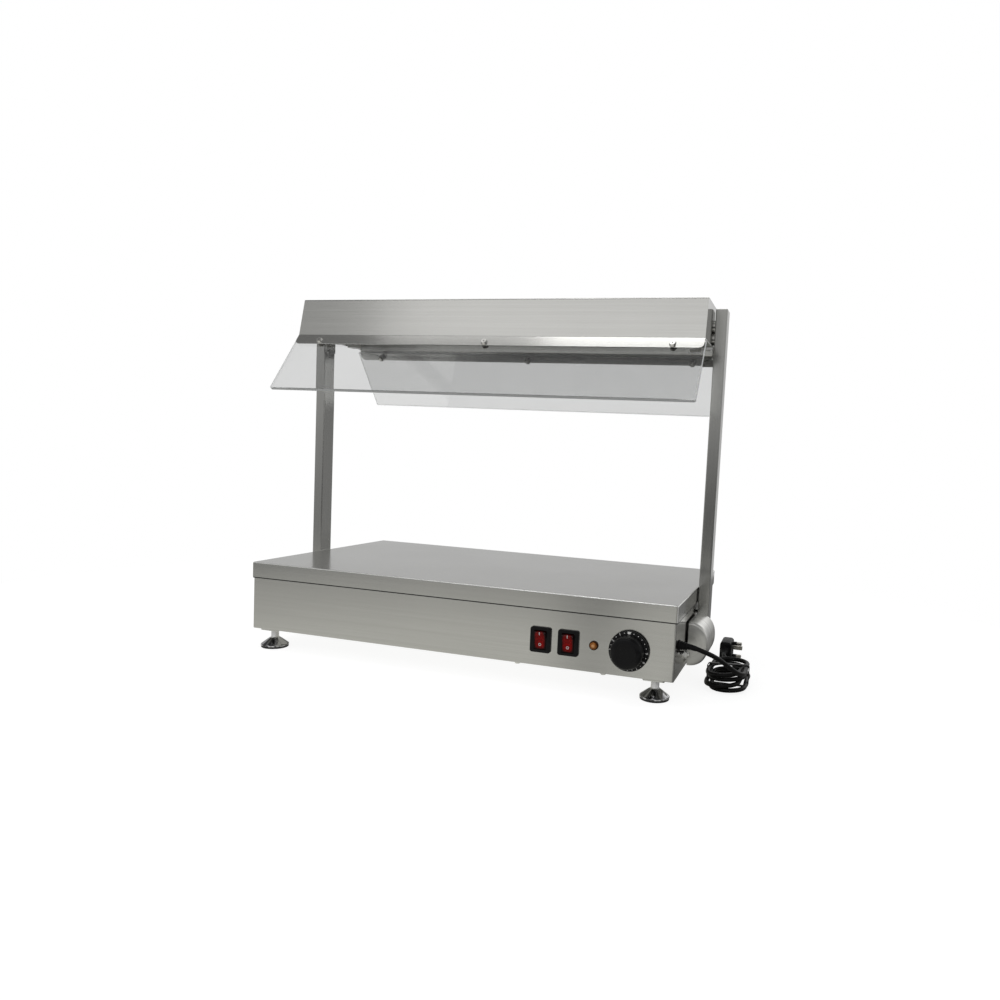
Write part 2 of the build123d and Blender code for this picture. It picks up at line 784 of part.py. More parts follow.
hood_inside = sheet_outline(hood_points, hood_sheet)[len(hood_points):][::-1]
tight_folds = [hood_inside[2], hood_inside[3], hood_points[1], hood_points[4]]
wide_folds = [hood_points[2], hood_points[3], hood_inside[1], hood_inside[4]]
with BuildPart() as hood_shell:
    with BuildSketch(Plane.YZ.offset(-hood_half)):
        Polygon(*sheet_outline(hood_points, hood_sheet), align=None)
    extrude(amount=2 * hood_half)
    long_edges = hood_shell.edges().filter_by(Axis.X)
    fillet(long_edges.filter_by(lambda e: near(tight_folds)(e.center())), fold_radius)
    long_edges = hood_shell.edges().filter_by(Axis.X)
    fillet(long_edges.filter_by(lambda e: near(wide_folds)(e.center())), fold_radius + hood_sheet)
    flange_corners = hood_shell.edges().filter_by(
        lambda e: abs(e.length - hood_sheet) < 0.01 and e.center().Z < flange_z + 1.0
        and abs(e.center().X) > hood_half - 0.01
    )
    fillet(flange_corners, flange_round)
    for sign in (1, -1):
        with BuildSketch(slope_plane(sign)):
            with Locations(*[(x, -screw_down) for x in screw_x]):
                Circle(screw_hole_radius)
        extrude(amount=-hood_sheet, mode=Mode.SUBTRACT)
save(hood_shell, "hood_shell")

end_points = hood_inside[1:5]
for end_name, sign in (("left", -1), ("right", 1)):
    with BuildPart() as hood_end:
        with BuildSketch(Plane.YZ.offset(sign * hood_half)) as end_sketch:
            Polygon(*end_points, align=None)
            fillet(end_sketch.vertices().group_by(Axis.Y)[-1], fold_radius + 0.3)
            with Locations(*[(0, z) for z in hood_bolt_z]):
                Circle(bolt_hole_radius, mode=Mode.SUBTRACT)
        extrude(amount=-sign * hood_end_sheet)
    save(hood_end, f"hood_end_{end_name}")

bracket_top = min(z for y, z in end_points)
with BuildPart() as hood_brackets:
    for sign in (-1, 1):
        bracket_points = [
            (sign * post_inner, bracket_top), (sign * (post_inner - bracket_reach), bracket_top),
            (sign * (post_inner - bracket_reach), bracket_top - bracket_sheet),
            (sign * (post_inner - bracket_sheet), bracket_top - bracket_sheet),
            (sign * (post_inner - bracket_sheet), bracket_top - bracket_drop),
            (sign * post_inner, bracket_top - bracket_drop),
        ]
        with BuildSketch(Plane.XZ.offset(-bracket_width / 2)):
            Polygon(*bracket_points, align=None)
        extrude(amount=bracket_width)
save(hood_brackets, "hood_brackets")

reflector_half = hood_half - hood_end_sheet
with BuildPart() as reflector:
    with BuildSketch(Plane.YZ.offset(-reflector_half)):
        Polygon(*sheet_outline(reflector_points, reflector_sheet), align=None)
    extrude(amount=2 * reflector_half)
save(reflector, "reflector")

for lamp_name, y in (("front", -heat_lamp_y), ("rear", heat_lamp_y)):
    with BuildPart() as heat_lamp:
        with BuildSketch(side_plane(y, heat_lamp_z, -heat_lamp_half)):
            Circle(heat_lamp_radius)
        extrude(amount=2 * heat_lamp_half)
    save(heat_lamp, f"heat_lamp_{lamp_name}")

holder_top = reflector_points[1][1] - reflector_sheet
holder_x = heat_lamp_half + holder_length / 2
with BuildPart() as lamp_holders:
    with BuildSketch(Plane.XY.offset(holder_bottom)):
        with GridLocations(2 * holder_x, 2 * heat_lamp_y, 2, 2):
            RectangleRounded(holder_length, holder_width, 2.0)
    extrude(amount=holder_top - holder_bottom)
save(lamp_holders, "lamp_holders")

# Glass and its fixings
for glass_name, sign in (("front", 1), ("rear", -1)):
    with BuildPart() as glass:
        with BuildSketch(slope_plane(sign).offset(-hood_sheet)) as glass_sketch:
            with Locations((0, -(glass_top + glass_bottom) / 2)):
                Rectangle(2 * glass_half, glass_bottom - glass_top)
            low_corners = glass_sketch.vertices().group_by(Axis.Y)[0]
            fillet(low_corners, glass_corner)
            with Locations(*[(x, -screw_down) for x in screw_x]):
                Circle(screw_hole_radius, mode=Mode.SUBTRACT)
        extrude(amount=-glass_thick)
        chamfer(glass.faces().sort_by(Axis.Z)[0].edges().filter_by(Axis.X), 0.5)
    save(glass, f"glass_{glass_name}")

with BuildPart() as glass_screws:
    for sign in (1, -1):
        with BuildSketch(slope_plane(sign)):
            with Locations(*[(x, -screw_down) for x in screw_x]):
                Circle(screw_head_radius)
        extrude(amount=screw_head_height, taper=24)
        with BuildSketch(slope_plane(sign)):
            with Locations(*[(x, -screw_down) for x in screw_x]):
                Circle(screw_radius)
        extrude(amount=-screw_length)
save(glass_screws, "glass_screws")

with BuildPart() as glass_nuts:
    for sign in (1, -1):
        with BuildSketch(slope_plane(sign).offset(-hood_sheet - glass_thick)):
            with Locations(*[(x, -screw_down) for x in screw_x]):
                RegularPolygon(screw_nut_across / 2, 6, major_radius=False)
                Circle(screw_radius + screw_nut_fit, mode=Mode.SUBTRACT)
        extrude(amount=-screw_nut_height)
save(glass_nuts, "glass_nuts")

# Cord route, from the gland down to the tied hank and on to the plug
layers = [hank_base + hank_layer * (hank_turns - 1 - turn) for turn in range(hank_turns)]
hank_straight = hank_length - hank_fold
end_straight = cord_diameter
hank_start = (hank_x + hank_fold, hank_y - hank_straight - end_straight, layers[0])
hank_end = (hank_x + hank_fold, hank_y + hank_straight + end_straight, layers[-1])

lead_points = [
    (side + gland_bottom, gland_y, gland_z), (side + 14.5, gland_y, gland_z),
    (316.5, -132.5, -55.6), (327.5, -126.0, -61.0), (337.0, -118.0, -68.0),
    (346.0, -109.0, -77.0), (354.5, -100.0, -85.0), (360.5, -88.0, -90.5),
    (hank_x + hank_fold, hank_start[1] - 9.4, layers[0]), hank_start,
]
tail_points = [
    hank_end, (hank_x + hank_fold, -8.0, layers[-1]), (355.5, 8.5, -110.5),
    (330.5, 24.0, -104.0), (plug_x, 38.5, plug_z), (plug_x, plug_y - plug_sleeve, plug_z),
]
lead_length = cord_tube("cord_lead", lead_points)
tail_length = cord_tube("cord_tail", tail_points)

# Hank, one tube wound over itself and drawn in at the waist
def hank_place(x, y, z):
    return Vector(hank_x + x, hank_y + y, z)


stations = []
for turn in range(hank_turns + 1):
    inner = hank_step * (turn % 2)
    high = layers[max(turn - 1, 0)]
    low = layers[min(turn, hank_turns - 1)]
    reach = hank_fold - inner
    slope = Vector(0, 2 * hank_straight, 1.5 * (low - high)).normalized()
    stations.append((hank_place(reach, -hank_straight, high), Vector(0, 1, 0)))
    stations.append((hank_place(reach - hank_waist, 0, (high + low) / 2), slope))
    stations.append((hank_place(reach, hank_straight, low), Vector(0, 1, 0)))
    if turn == hank_turns:
        break
    rear_in = hank_step * (0.25 if turn % 2 == 0 else 0.75)
    front_in = hank_step - rear_in
    left = hank_fold - hank_step / 2
    stations.append((hank_place(0, hank_length - rear_in, low), Vector(-1, 0, 0)))
    stations.append((hank_place(-left, hank_straight, low), Vector(0, -1, 0)))
    stations.append((hank_place(-left + hank_waist, 0, low), Vector(0, -1, 0)))
    stations.append((hank_place(-left, -hank_straight, low), Vector(0, -1, 0)))
    stations.append((hank_place(0, -hank_length + front_in, low), Vector(1, 0, 0)))

with BuildPart() as cord_hank:
    with BuildLine() as hank_route:
        Line(hank_start, stations[0][0])
        for (here, way), (there, next_way) in zip(stations, stations[1:]):
            for start, middle, end in biarc(here, way, there, next_way):
                if middle is None:
                    Line(start, end)
                else:
                    ThreePointArc(start, middle, end)
        Line(stations[-1][0], hank_end)
    hank_wire = hank_route.wires()[0]
    with BuildSketch(Plane(origin=hank_start, z_dir=(0, 1, 0))):
        Circle(cord_radius)
    sweep(path=hank_wire)
save(cord_hank, "cord_hank")

sample_count = 700
hank_samples = [hank_wire.position_at(i / sample_count) for i in range(sample_count + 1)]
sample_step = hank_wire.length / sample_count
apart = int(4 * cord_diameter / sample_step)
least_gap = min(
    (hank_samples[i] - hank_samples[j]).length
    for i in range(sample_count + 1) for j in range(i + apart, sample_count + 1)
) - cord_diameter
even_hank = pi * cord_radius ** 2 * hank_wire.length
print("cord_hank length", round(hank_wire.length, 1), "least gap", round(least_gap, 2),
      "volume share", round(cord_hank.part.volume / even_hank, 4))
print("cord length in all", round(lead_length + tail_length + hank_wire.length, 1))

# Tie round the waist of the hank
tie_left = hank_x - (hank_fold - hank_step / 2 - hank_waist) - cord_radius - tie_gap
tie_right = hank_x + hank_fold - hank_waist + cord_radius + tie_gap
tie_low = layers[-1] - cord_radius - tie_gap
tie_high = layers[0] + cord_radius + tie_gap
tie_plane = Plane(
    origin=((tie_left + tie_right) / 2, hank_y - tie_width / 2, (tie_low + tie_high) / 2),
    x_dir=(1, 0, 0), z_dir=(0, 1, 0),
)
tie_inner = cord_radius
with BuildPart() as cord_tie:
    with BuildSketch(tie_plane):
        RectangleRounded(
            tie_right - tie_left + 2 * tie_sheet, tie_high - tie_low + 2 * tie_sheet,
            tie_inner + tie_sheet,
        )
        RectangleRounded(
            tie_right - tie_left, tie_high - tie_low, tie_inner, mode=Mode.SUBTRACT
        )
    extrude(amount=tie_width)
save(cord_tie, "cord_tie")

# Plug, lying on its side with the pins level
with BuildPart() as plug_body:
    with BuildSketch(front_plane(plug_x, plug_z, plug_y)):
        RectangleRounded(plug_thick, plug_width, plug_round)
    extrude(amount=-plug_length)
    fillet(plug_body.faces().sort_by(Axis.Y)[0].edges(), 2.5)
    fillet(plug_body.faces().sort_by(Axis.Y)[-1].edges(), 2.5)
    with BuildSketch(front_plane(plug_x, plug_z, plug_y - plug_sleeve)):
        Circle(plug_sleeve_small)
    with BuildSketch(front_plane(plug_x, plug_z, plug_y)):
        Circle(plug_sleeve_large)
    loft()
save(plug_body, "plug_body")

pin_face = plug_x + plug_thick / 2
with BuildPart() as plug_pins:
    with BuildSketch(side_plane(plug_y + pin_near, plug_z, pin_face)):
        with GridLocations(0, 2 * pin_spread, 1, 2):
            RectangleRounded(pin_wide, pin_thin, 0.8)
    with BuildSketch(side_plane(plug_y + pin_far, plug_z, pin_face)):
        RectangleRounded(pin_thin, pin_wide, 0.8)
    extrude(amount=pin_reach)
    chamfer(plug_pins.faces().filter_by(Axis.X).group_by(Axis.X)[-1].edges(), 0.7)
save(plug_pins, "plug_pins")
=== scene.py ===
import math

import bmesh
import bpy
from mathutils import Matrix, Vector


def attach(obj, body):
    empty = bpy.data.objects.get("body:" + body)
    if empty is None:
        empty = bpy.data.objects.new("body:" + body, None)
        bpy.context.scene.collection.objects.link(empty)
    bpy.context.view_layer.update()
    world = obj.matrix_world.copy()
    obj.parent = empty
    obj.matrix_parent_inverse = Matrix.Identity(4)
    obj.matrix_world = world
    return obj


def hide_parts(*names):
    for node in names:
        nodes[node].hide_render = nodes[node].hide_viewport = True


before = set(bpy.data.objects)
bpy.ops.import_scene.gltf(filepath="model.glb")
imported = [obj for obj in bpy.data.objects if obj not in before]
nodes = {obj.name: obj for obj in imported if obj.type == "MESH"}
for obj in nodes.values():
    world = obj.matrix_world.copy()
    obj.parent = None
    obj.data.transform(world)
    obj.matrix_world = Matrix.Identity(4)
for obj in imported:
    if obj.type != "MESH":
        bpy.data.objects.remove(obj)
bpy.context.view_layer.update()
bpy.context.scene.view_settings.view_transform = "Standard"
print("frame loaded with", len(nodes), "nodes")


# one socket of a node tree, so that shader sums read as sums
class Wire:
    def __init__(self, owner, socket):
        self.owner = owner
        self.socket = socket

    def sum(self, operation, first, second=0.0):
        return self.owner.node("Math", {"operation": operation}, {0: first, 1: second})

    def __add__(self, other):
        return self.sum("ADD", self, other)

    def __radd__(self, other):
        return self.sum("ADD", other, self)

    def __sub__(self, other):
        return self.sum("SUBTRACT", self, other)

    def __rsub__(self, other):
        return self.sum("SUBTRACT", other, self)

    def __mul__(self, other):
        return self.sum("MULTIPLY", self, other)

    def __rmul__(self, other):
        return self.sum("MULTIPLY", other, self)

    def __truediv__(self, other):
        return self.sum("DIVIDE", self, other)

    def __rtruediv__(self, other):
        return self.sum("DIVIDE", other, self)

    def __gt__(self, other):
        return self.sum("GREATER_THAN", self, other)

    def __abs__(self):
        return self.sum("ABSOLUTE", self)

    def atLeast(self, other):
        return self.sum("MAXIMUM", self, other)

    def atMost(self, other):
        return self.sum("MINIMUM", self, other)

    def swing(self, width):
        return (self - 0.5) * width


# a node tree that is wired by name, for a finish or for the studio
class Shading:
    def __init__(self, tree):
        self.tree = tree

    def feed(self, socket, value):
        if isinstance(value, Wire):
            self.tree.links.new(value.socket, socket)
        else:
            socket.default_value = (*value, 1.0) if socket.type == "RGBA" else value

    def node(self, kind, settings={}, inputs={}, output=0):
        made = self.tree.nodes.new("ShaderNode" + kind)
        for key, value in settings.items():
            setattr(made, key, value)
        for key, value in inputs.items():
            self.feed(made.inputs[key], value)
        return Wire(self, made.outputs[output])

    def place(self):
        return self.node("TexCoord", output="Object")

    def normal(self):
        return self.node("TexCoord", output="Normal")

    def split(self, vector):
        return [self.node("SeparateXYZ", {}, {0: vector}, side) for side in (0, 1, 2)]

    def stretch(self, vector, scale):
        return self.node("VectorMath", {"operation": "MULTIPLY"}, {0: vector, 1: scale})

    def noise(self, vector, scale, detail=3.0, roughness=0.55):
        return self.node("TexNoise", {}, {
            "Vector": vector, "Scale": scale, "Detail": detail, "Roughness": roughness})

    def blend(self, factor, first, second):
        return self.node("Mix", {"data_type": "RGBA"}, {0: factor, 6: first, 7: second}, 2)

    def blendVectors(self, factor, first, second):
        return self.node("Mix", {"data_type": "VECTOR"}, {0: factor, 4: first, 5: second}, 1)

    def between(self, value, low, high, lowest=0.0, highest=1.0):
        return self.node("MapRange", {"interpolation_type": "SMOOTHSTEP"}, {
            0: value, 1: low, 2: high, 3: lowest, 4: highest})

    def ridges(self, height, distance, filterWidth=0.1):
        return self.node("Bump", {}, {
            "Strength": 1.0, "Distance": distance, "Filter Width": filterWidth, "Height": height})

    # rays that see a thing itself, straight or through glass, and rays that see it mirrored
    def rays(self):
        seen = (self.node("LightPath", output="Is Camera Ray")
                .atLeast(self.node("LightPath", output="Is Transmission Ray")))
        return seen, self.node("LightPath", output="Is Glossy Ray")


class Finish(Shading):
    def __init__(self, name):
        self.material = bpy.data.materials.new(name)
        self.material.use_nodes = True
        super().__init__(self.material.node_tree)
        self.shader = self.tree.nodes["Principled BSDF"]

    def paint(self, values):
        for key, value in values.items():
            self.feed(self.shader.inputs[key], value)
        return self.material


def shaded(colour, share):
    return tuple(share * part for part in colour)


# brushed stainless sheet: hairlines, wider streaks and faint handling marks
steel = {
    "pale": (0.445, 0.444, 0.427),
    "dull": (0.395, 0.394, 0.377),
    "along": 9.0,
    "across": 2400.0,
    "streakScale": 0.11,
    "handlingScale": 7.0,
    "fleck": 0.6,
    "hairlineShare": 0.6,
    "toneRange": (0.25, 0.75),
    "roughness": 0.20,
    "endRoughness": 0.10,
    "hairlineSwing": 0.12,
    "handlingSwing": 0.10,
    "hairlineDepth": 0.000012,
    "faceOn": 0.7,  # a face looks along an axis past this much of its normal
    # colour of the painted highlight along folds
    "fold": (0.97, 0.97, 0.95),
    "foldRange": (0.02, 0.14),
    "foldRoughness": 0.14,
    "spunShade": 0.75,
    "spunRange": (0.2, 0.8),
    # share by which a spun end face is painted darker than the rim, a painted shade
    "endFaceShade": 0.6,
}


def brushedSteel(name, run, roughness=steel["roughness"], lift=1.0, foldHighlight=False, spun=None):
    finish = Finish(name)
    place = finish.place()
    aside, ahead, upright = [abs(part) for part in finish.split(finish.normal())]
    along, across = steel["along"], steel["across"]
    scales = {
        "length": (along, across, across), "depth": (across, along, across),
        "height": (across, across, along), "round": (along, across, along),
    }
    scale = scales[run]
    if run == "length":  # on the ends of a sheet the grain runs front to back
        end = aside > steel["faceOn"]
        scale = finish.blendVectors(end, scales["length"], scales["depth"])
        roughness = roughness - end * (roughness - steel["endRoughness"])
    grain = finish.stretch(place, scale)
    if spun:  # on a spun end the grain runs in arcs round a middle
        x, y, z = finish.split(place)
        out, rise = x - spun[0], z - spun[1]
        radius = finish.node("Math", {"operation": "SQRT"}, {0: out * out + rise * rise})
        arcs = finish.node("CombineXYZ", {}, {0: radius * across, 1: x * along, 2: z * along})
        end = ahead > steel["faceOn"]
        grain = finish.blendVectors(end, grain, arcs)
    hairlines = finish.noise(grain, 1.0, detail=2.0, roughness=steel["fleck"])
    streaks = finish.noise(grain, steel["streakScale"], roughness=steel["fleck"])
    handling = finish.noise(place, steel["handlingScale"], detail=4.0, roughness=steel["fleck"])
    dull, pale = shaded(steel["dull"], lift), shaded(steel["pale"], lift)
    # a spun cover's end face is painted darker than its rim, a painted shade
    if spun:
        tone = finish.between(streaks, *steel["spunRange"]) * (1.0 - end * steel["endFaceShade"])
        dull = shaded(dull, steel["spunShade"])
    else:
        share = steel["hairlineShare"]
        tone = finish.between(hairlines * share + streaks * (1.0 - share), *steel["toneRange"])
    colour = finish.blend(tone, dull, pale)
    if foldHighlight:  # folds are painted brighter than the flats, a painted highlight along the edges
        fold = 1.0 - aside.atLeast(ahead).atLeast(upright)
        highlightShare = finish.between(fold, *steel["foldRange"])
        colour = finish.blend(highlightShare, colour, steel["fold"])
        roughness = roughness + highlightShare * steel["foldRoughness"]
    return finish.paint({
        "Base Color": colour,
        "Metallic": 1.0,
        "Roughness": (roughness + hairlines.swing(steel["hairlineSwing"])
                      + handling.swing(steel["handlingSwing"])),
        "Normal": finish.ridges(hairlines, steel["hairlineDepth"]),
    })


# plated and bare metal: clouded tone under fine specks
plating = {
    "shade": 0.78,
    "cloudRange": (0.3, 0.7),
    "cloudSwing": 0.08,
    "specks": 900.0,
    "speckSwing": 0.06,
    "speckDepth": 0.000008,
}


def platedSteel(name, colour, roughness, mottle=60.0):
    finish = Finish(name)
    place = finish.place()
    clouds = finish.noise(place, mottle, detail=4.0)
    specks = finish.noise(place, plating["specks"], detail=2.0)
    tone = finish.between(clouds, *plating["cloudRange"])
    return finish.paint({
        "Base Color": finish.blend(tone, shaded(colour, plating["shade"]), colour),
        "Metallic": 1.0,
        "Roughness": roughness + clouds.swing(plating["cloudSwing"]) + specks.swing(plating["speckSwing"]),
        "Normal": finish.ridges(specks, plating["speckDepth"]),
    })


# chrome of the feet: satin stem, polished cone with dark and bright upright streaks that follow the normal
# round the cone, a painted reflection
chrome = {
    # dark and bright colours of the painted reflection on the cone
    "dark": (0.07, 0.07, 0.072),
    "bright": (0.66, 0.66, 0.67),
    "stem": (0.74, 0.74, 0.73),
    "stemStart": (-0.1036, -0.1026),
    "streaks": 2.6,
    "reflectionStreakRange": (0.40, 0.62),
    "roughness": 0.07,
    "stemRoughness": 0.30,
    "specks": 900.0,
    "speckSwing": 0.05,
    "speckDepth": 0.000006,
}


def streakedChrome(name):
    finish = Finish(name)
    place = finish.place()
    height = finish.split(place)[2]
    # streaks keyed to the normal's direction paint the surroundings mirrored in the cone, a painted
    # reflection
    streaks = finish.noise(finish.stretch(finish.normal(), (1.0, 1.0, 0.0)), chrome["streaks"], detail=2.0)
    specks = finish.noise(place, chrome["specks"], detail=2.0)
    stem = finish.between(height, *chrome["stemStart"])
    cone = finish.blend(finish.between(streaks, *chrome["reflectionStreakRange"]), chrome["dark"], chrome["bright"])
    return finish.paint({
        "Base Color": finish.blend(stem, cone, chrome["stem"]),
        "Metallic": 1.0,
        "Roughness": (chrome["roughness"] + stem * chrome["stemRoughness"]
                      + specks.swing(chrome["speckSwing"])),
        "Normal": finish.ridges(specks, chrome["speckDepth"]),
    })


# moulded plastic and flex: fine grain, with worn patches that take the sheen colour
plastic = {"grainSwing": 0.10, "wear": 45.0, "wearRange": (0.35, 0.75), "wearSwing": 0.14}


def mouldedPlastic(name, colour, sheen, roughness, gloss=0.2, grain=2600.0, depth=0.00002):
    finish = Finish(name)
    place = finish.place()
    texture = finish.noise(place, grain, detail=2.0)
    wear = finish.noise(place, plastic["wear"], detail=5.0, roughness=0.65)
    return finish.paint({
        "Base Color": finish.blend(finish.between(wear, *plastic["wearRange"]), colour, sheen),
        "Roughness": roughness + texture.swing(plastic["grainSwing"]) + wear.swing(plastic["wearSwing"]),
        "Specular IOR Level": gloss,
        "Normal": finish.ridges(texture, depth),
    })


# tinted plastic: lighter in the middle, deeper in its facets, dark towards the rim; on the rockers the light
# middle is painted light and the dark rim is painted shade
lenses = {
    "rocker": {
        # rocker: painted light in the middle, painted shade at the rim
        "lit": (0.46, 0.008, 0.006),
        "deep": (0.20, 0.004, 0.004),
        "rim": (0.012, 0.001, 0.001),
        "rimRange": (0.03, 0.75),
        "places": (0.125, 0.160), "height": -0.058, "reach": (0.0074, 0.0122), "square": True,
        "facets": 620.0, "roughness": 0.34,
    },
    "lamp": {
        "lit": (0.62, 0.25, 0.06),
        "deep": (0.34, 0.10, 0.018),
        "rim": (0.055, 0.018, 0.005),
        "rimRange": (0.42, 0.66),
        "bulb": (0.95, 0.50, 0.22),
        "bulbRange": (0.03, 0.22),
        "places": (0.1915,), "height": -0.0575, "reach": (0.0056, 0.0056), "square": False,
        "facets": 700.0, "roughness": 0.26,
    },
}
tint = {
    "haze": 160.0, "hazeShare": 0.5, "hazeSwing": 0.08, "hazeDepth": 0.00001,
    "facetShare": 0.8, "range": (0.25, 0.95), "gloss": 0.12,
}


def tintedLens(name, lens):
    finish = Finish(name)
    place = finish.place()
    x, y, z = finish.split(place)
    aside = abs(x - lens["places"][0])
    for middle in lens["places"][1:]:
        aside = aside.atMost(abs(x - middle))
    aside = aside / lens["reach"][0]
    above = abs(z - lens["height"]) / lens["reach"][1]
    if lens["square"]:
        aside, above = aside * aside, above * above
    out = aside * aside + above * above
    facets = finish.node("TexVoronoi", {"feature": "F1"}, {"Vector": place, "Scale": lens["facets"]})
    haze = finish.noise(place, tint["haze"])
    depth = finish.between(facets * tint["facetShare"] + haze * tint["hazeShare"], *tint["range"])
    body = finish.blend(depth, lens["lit"], lens["deep"])
    if "bulb" in lens:  # the bulb behind shows in the middle
        body = finish.blend(finish.between(out, *lens["bulbRange"]), lens["bulb"], body)
    return finish.paint({
        # towards the rim the colour darkens, on the rockers a painted shade
        "Base Color": finish.blend(finish.between(out, *lens["rimRange"]), body, lens["rim"]),
        "Roughness": lens["roughness"] + haze.swing(tint["hazeSwing"]),
        "Specular IOR Level": tint["gloss"],
        "Normal": finish.ridges(haze, tint["hazeDepth"]),
    })


# clear glass with faint smears and wiping marks
pane = {
    "smears": 9.0,
    "smearRange": (0.35, 0.65),
    "smearTone": 1.02,
    "smearShare": 0.6,
    "wipes": (6.0, 40.0, 40.0),
    "markRange": (0.5, 0.85),
    "markRoughness": 0.03,
    "gloss": 0.3,
    "ior": 1.5,
}


def clearPane(name, colour, roughness):
    finish = Finish(name)
    place = finish.place()
    smears = finish.noise(place, pane["smears"], detail=5.0, roughness=0.6)
    wipes = finish.noise(finish.stretch(place, pane["wipes"]), 1.0)
    marks = smears * pane["smearShare"] + wipes * (1.0 - pane["smearShare"])
    smeared = finish.between(smears, *pane["smearRange"])
    return finish.paint({
        "Base Color": finish.blend(smeared, colour, shaded(colour, pane["smearTone"])),
        "Roughness": finish.between(marks, *pane["markRange"], roughness, roughness + pane["markRoughness"]),
        "IOR": pane["ior"],
        "Specular IOR Level": pane["gloss"],
        "Transmission Weight": 1.0,
    })


# plain surfaces: grit over wider patches
grits = {"patches": 14.0, "range": (0.35, 0.65), "swing": 0.15}


def drySurface(name, pale, dark, roughness, scale, depth, cover=1.0):
    finish = Finish(name)
    place = finish.place()
    grit = finish.noise(place, scale, detail=4.0, roughness=0.65)
    patches = finish.noise(place, scale / grits["patches"], detail=4.0, roughness=0.6)
    tone = finish.between(grit * 0.5 + patches * 0.5, *grits["range"])
    return finish.paint({
        "Base Color": finish.blend(tone, dark, pale),
        "Roughness": roughness + grit.swing(grits["swing"]),
        "Alpha": cover,
        "Normal": finish.ridges(grit, depth),
    })


def glassEdge(name, cover):
    return drySurface(name, (0.94, 0.96, 0.95), (0.88, 0.90, 0.89),
                      roughness=0.5, scale=900.0, depth=0.00001, cover=cover)


finishes = {
    "sheet": brushedSteel("brushed steel sheet", "length"),
    "upright": brushedSteel("brushed steel post", "height"),
    "folded": brushedSteel("folded steel sheet", "length", foldHighlight=True),
    "fixings": platedSteel("plated fixings", (0.62, 0.615, 0.59), roughness=0.22),
    "chrome": streakedChrome("polished chrome"),
    "nuts": platedSteel("dull nuts", (0.11, 0.105, 0.095), roughness=0.36),
    "heater": platedSteel("heater sheath", (0.30, 0.275, 0.255), roughness=0.45, mottle=110.0),
    "reflector": platedSteel("heat-tinted reflector", (0.30, 0.31, 0.29), roughness=0.24, mottle=14.0),
    "copper": platedSteel("drawn copper", (0.66, 0.36, 0.21), roughness=0.28, mottle=120.0),
    "pins": platedSteel("plated plug pins", (0.66, 0.64, 0.58), roughness=0.24, mottle=90.0),
    "filament": platedSteel("filament wire", (0.42, 0.36, 0.31), roughness=0.4, mottle=300.0),
    "black": mouldedPlastic(
        "black plastic", (0.004, 0.004, 0.0045), (0.009, 0.009, 0.010), roughness=0.38, gloss=0.14),
    "knob": mouldedPlastic(
        "knob plastic", (0.004, 0.004, 0.0045), (0.007, 0.007, 0.008),
        roughness=0.27, gloss=0.15, grain=3400.0),
    "flex": mouldedPlastic(
        "cord flex", (0.004, 0.004, 0.004), (0.008, 0.008, 0.008),
        roughness=0.36, gloss=0.16, grain=1500.0, depth=0.00003),
    "marks": mouldedPlastic(
        "white marking", (0.90, 0.90, 0.88), (0.82, 0.82, 0.79), roughness=0.5, grain=4000.0),
    "recess": mouldedPlastic("recess shade", (0.012, 0.012, 0.012), (0.03, 0.03, 0.029), roughness=0.6),
    "red": tintedLens("red rocker", lenses["rocker"]),
    "amber": tintedLens("amber lens", lenses["lamp"]),
    "glass": clearPane("toughened glass", (0.690, 0.694, 0.692), roughness=0.0),
    "ground": glassEdge("ground glass edge", cover=1.0),
    "polished": glassEdge("polished glass edge", cover=0.45),
    "quartz": clearPane("quartz tube", (0.90, 0.88, 0.85), roughness=0.04),
    "rubber": drySurface(
        "foot rubber", (0.030, 0.030, 0.031), (0.012, 0.012, 0.013),
        roughness=0.78, scale=1400.0, depth=0.00004),
    "board": drySurface(
        "fibre board", (0.76, 0.71, 0.58), (0.62, 0.56, 0.43), roughness=0.9, scale=420.0, depth=0.0003),
    "ceramic": drySurface(
        "glazed ceramic", (0.82, 0.81, 0.77), (0.74, 0.72, 0.67), roughness=0.2, scale=220.0, depth=0.00002),
}
print("finishes made:", len(finishes))


# camera fitted to the photograph, lengths in metres and places in image pixels
cameraFit = {
    "stand": (0.4268804, -1.0025884, 0.1631086),
    "yaw": 0.273,
    "pitch": -0.076,
    "roll": 0.0524,
    "focal": 754.9913,
    "middle": (599.8838, 515.5199),
    "image": 1000.0,
    "sensor": 36.0,  # millimetres
    "near": 0.01,
}


def axesAt(place, x, y, z):
    return Matrix.Translation(place) @ Matrix((x, y, z)).transposed().to_4x4()


def placeCamera(fit):
    yaw, pitch, roll = fit["yaw"], fit["pitch"], fit["roll"]
    ahead = Vector((-math.sin(yaw) * math.cos(pitch), math.cos(yaw) * math.cos(pitch), math.sin(pitch)))
    level = Vector((math.cos(yaw), math.sin(yaw), 0.0))
    upright = level.cross(ahead)
    right = level * math.cos(roll) + upright * math.sin(roll)
    up = upright * math.cos(roll) - level * math.sin(roll)
    bpy.ops.object.camera_add()
    camera = bpy.context.object
    camera.name = "photoCamera"
    camera.matrix_world = axesAt(fit["stand"], right, up, -ahead)
    camera.data.sensor_width = fit["sensor"]
    camera.data.lens = fit["focal"] * fit["sensor"] / fit["image"]
    camera.data.shift_x = 0.5 - fit["middle"][0] / fit["image"]
    camera.data.shift_y = fit["middle"][1] / fit["image"] - 0.5
    camera.data.clip_start = fit["near"]
    bpy.context.scene.camera = camera


placeCamera(cameraFit)
print("camera placed")


# limits for choosing parts of a mesh, lengths in metres
faceOn = 0.9  # a face looks along an axis past this much of its normal
samePlace = 0.0001
sameVert = 0.000002


def editMode():
    bpy.ops.object.mode_set(mode="EDIT")


def objectMode():
    bpy.ops.object.mode_set(mode="OBJECT")


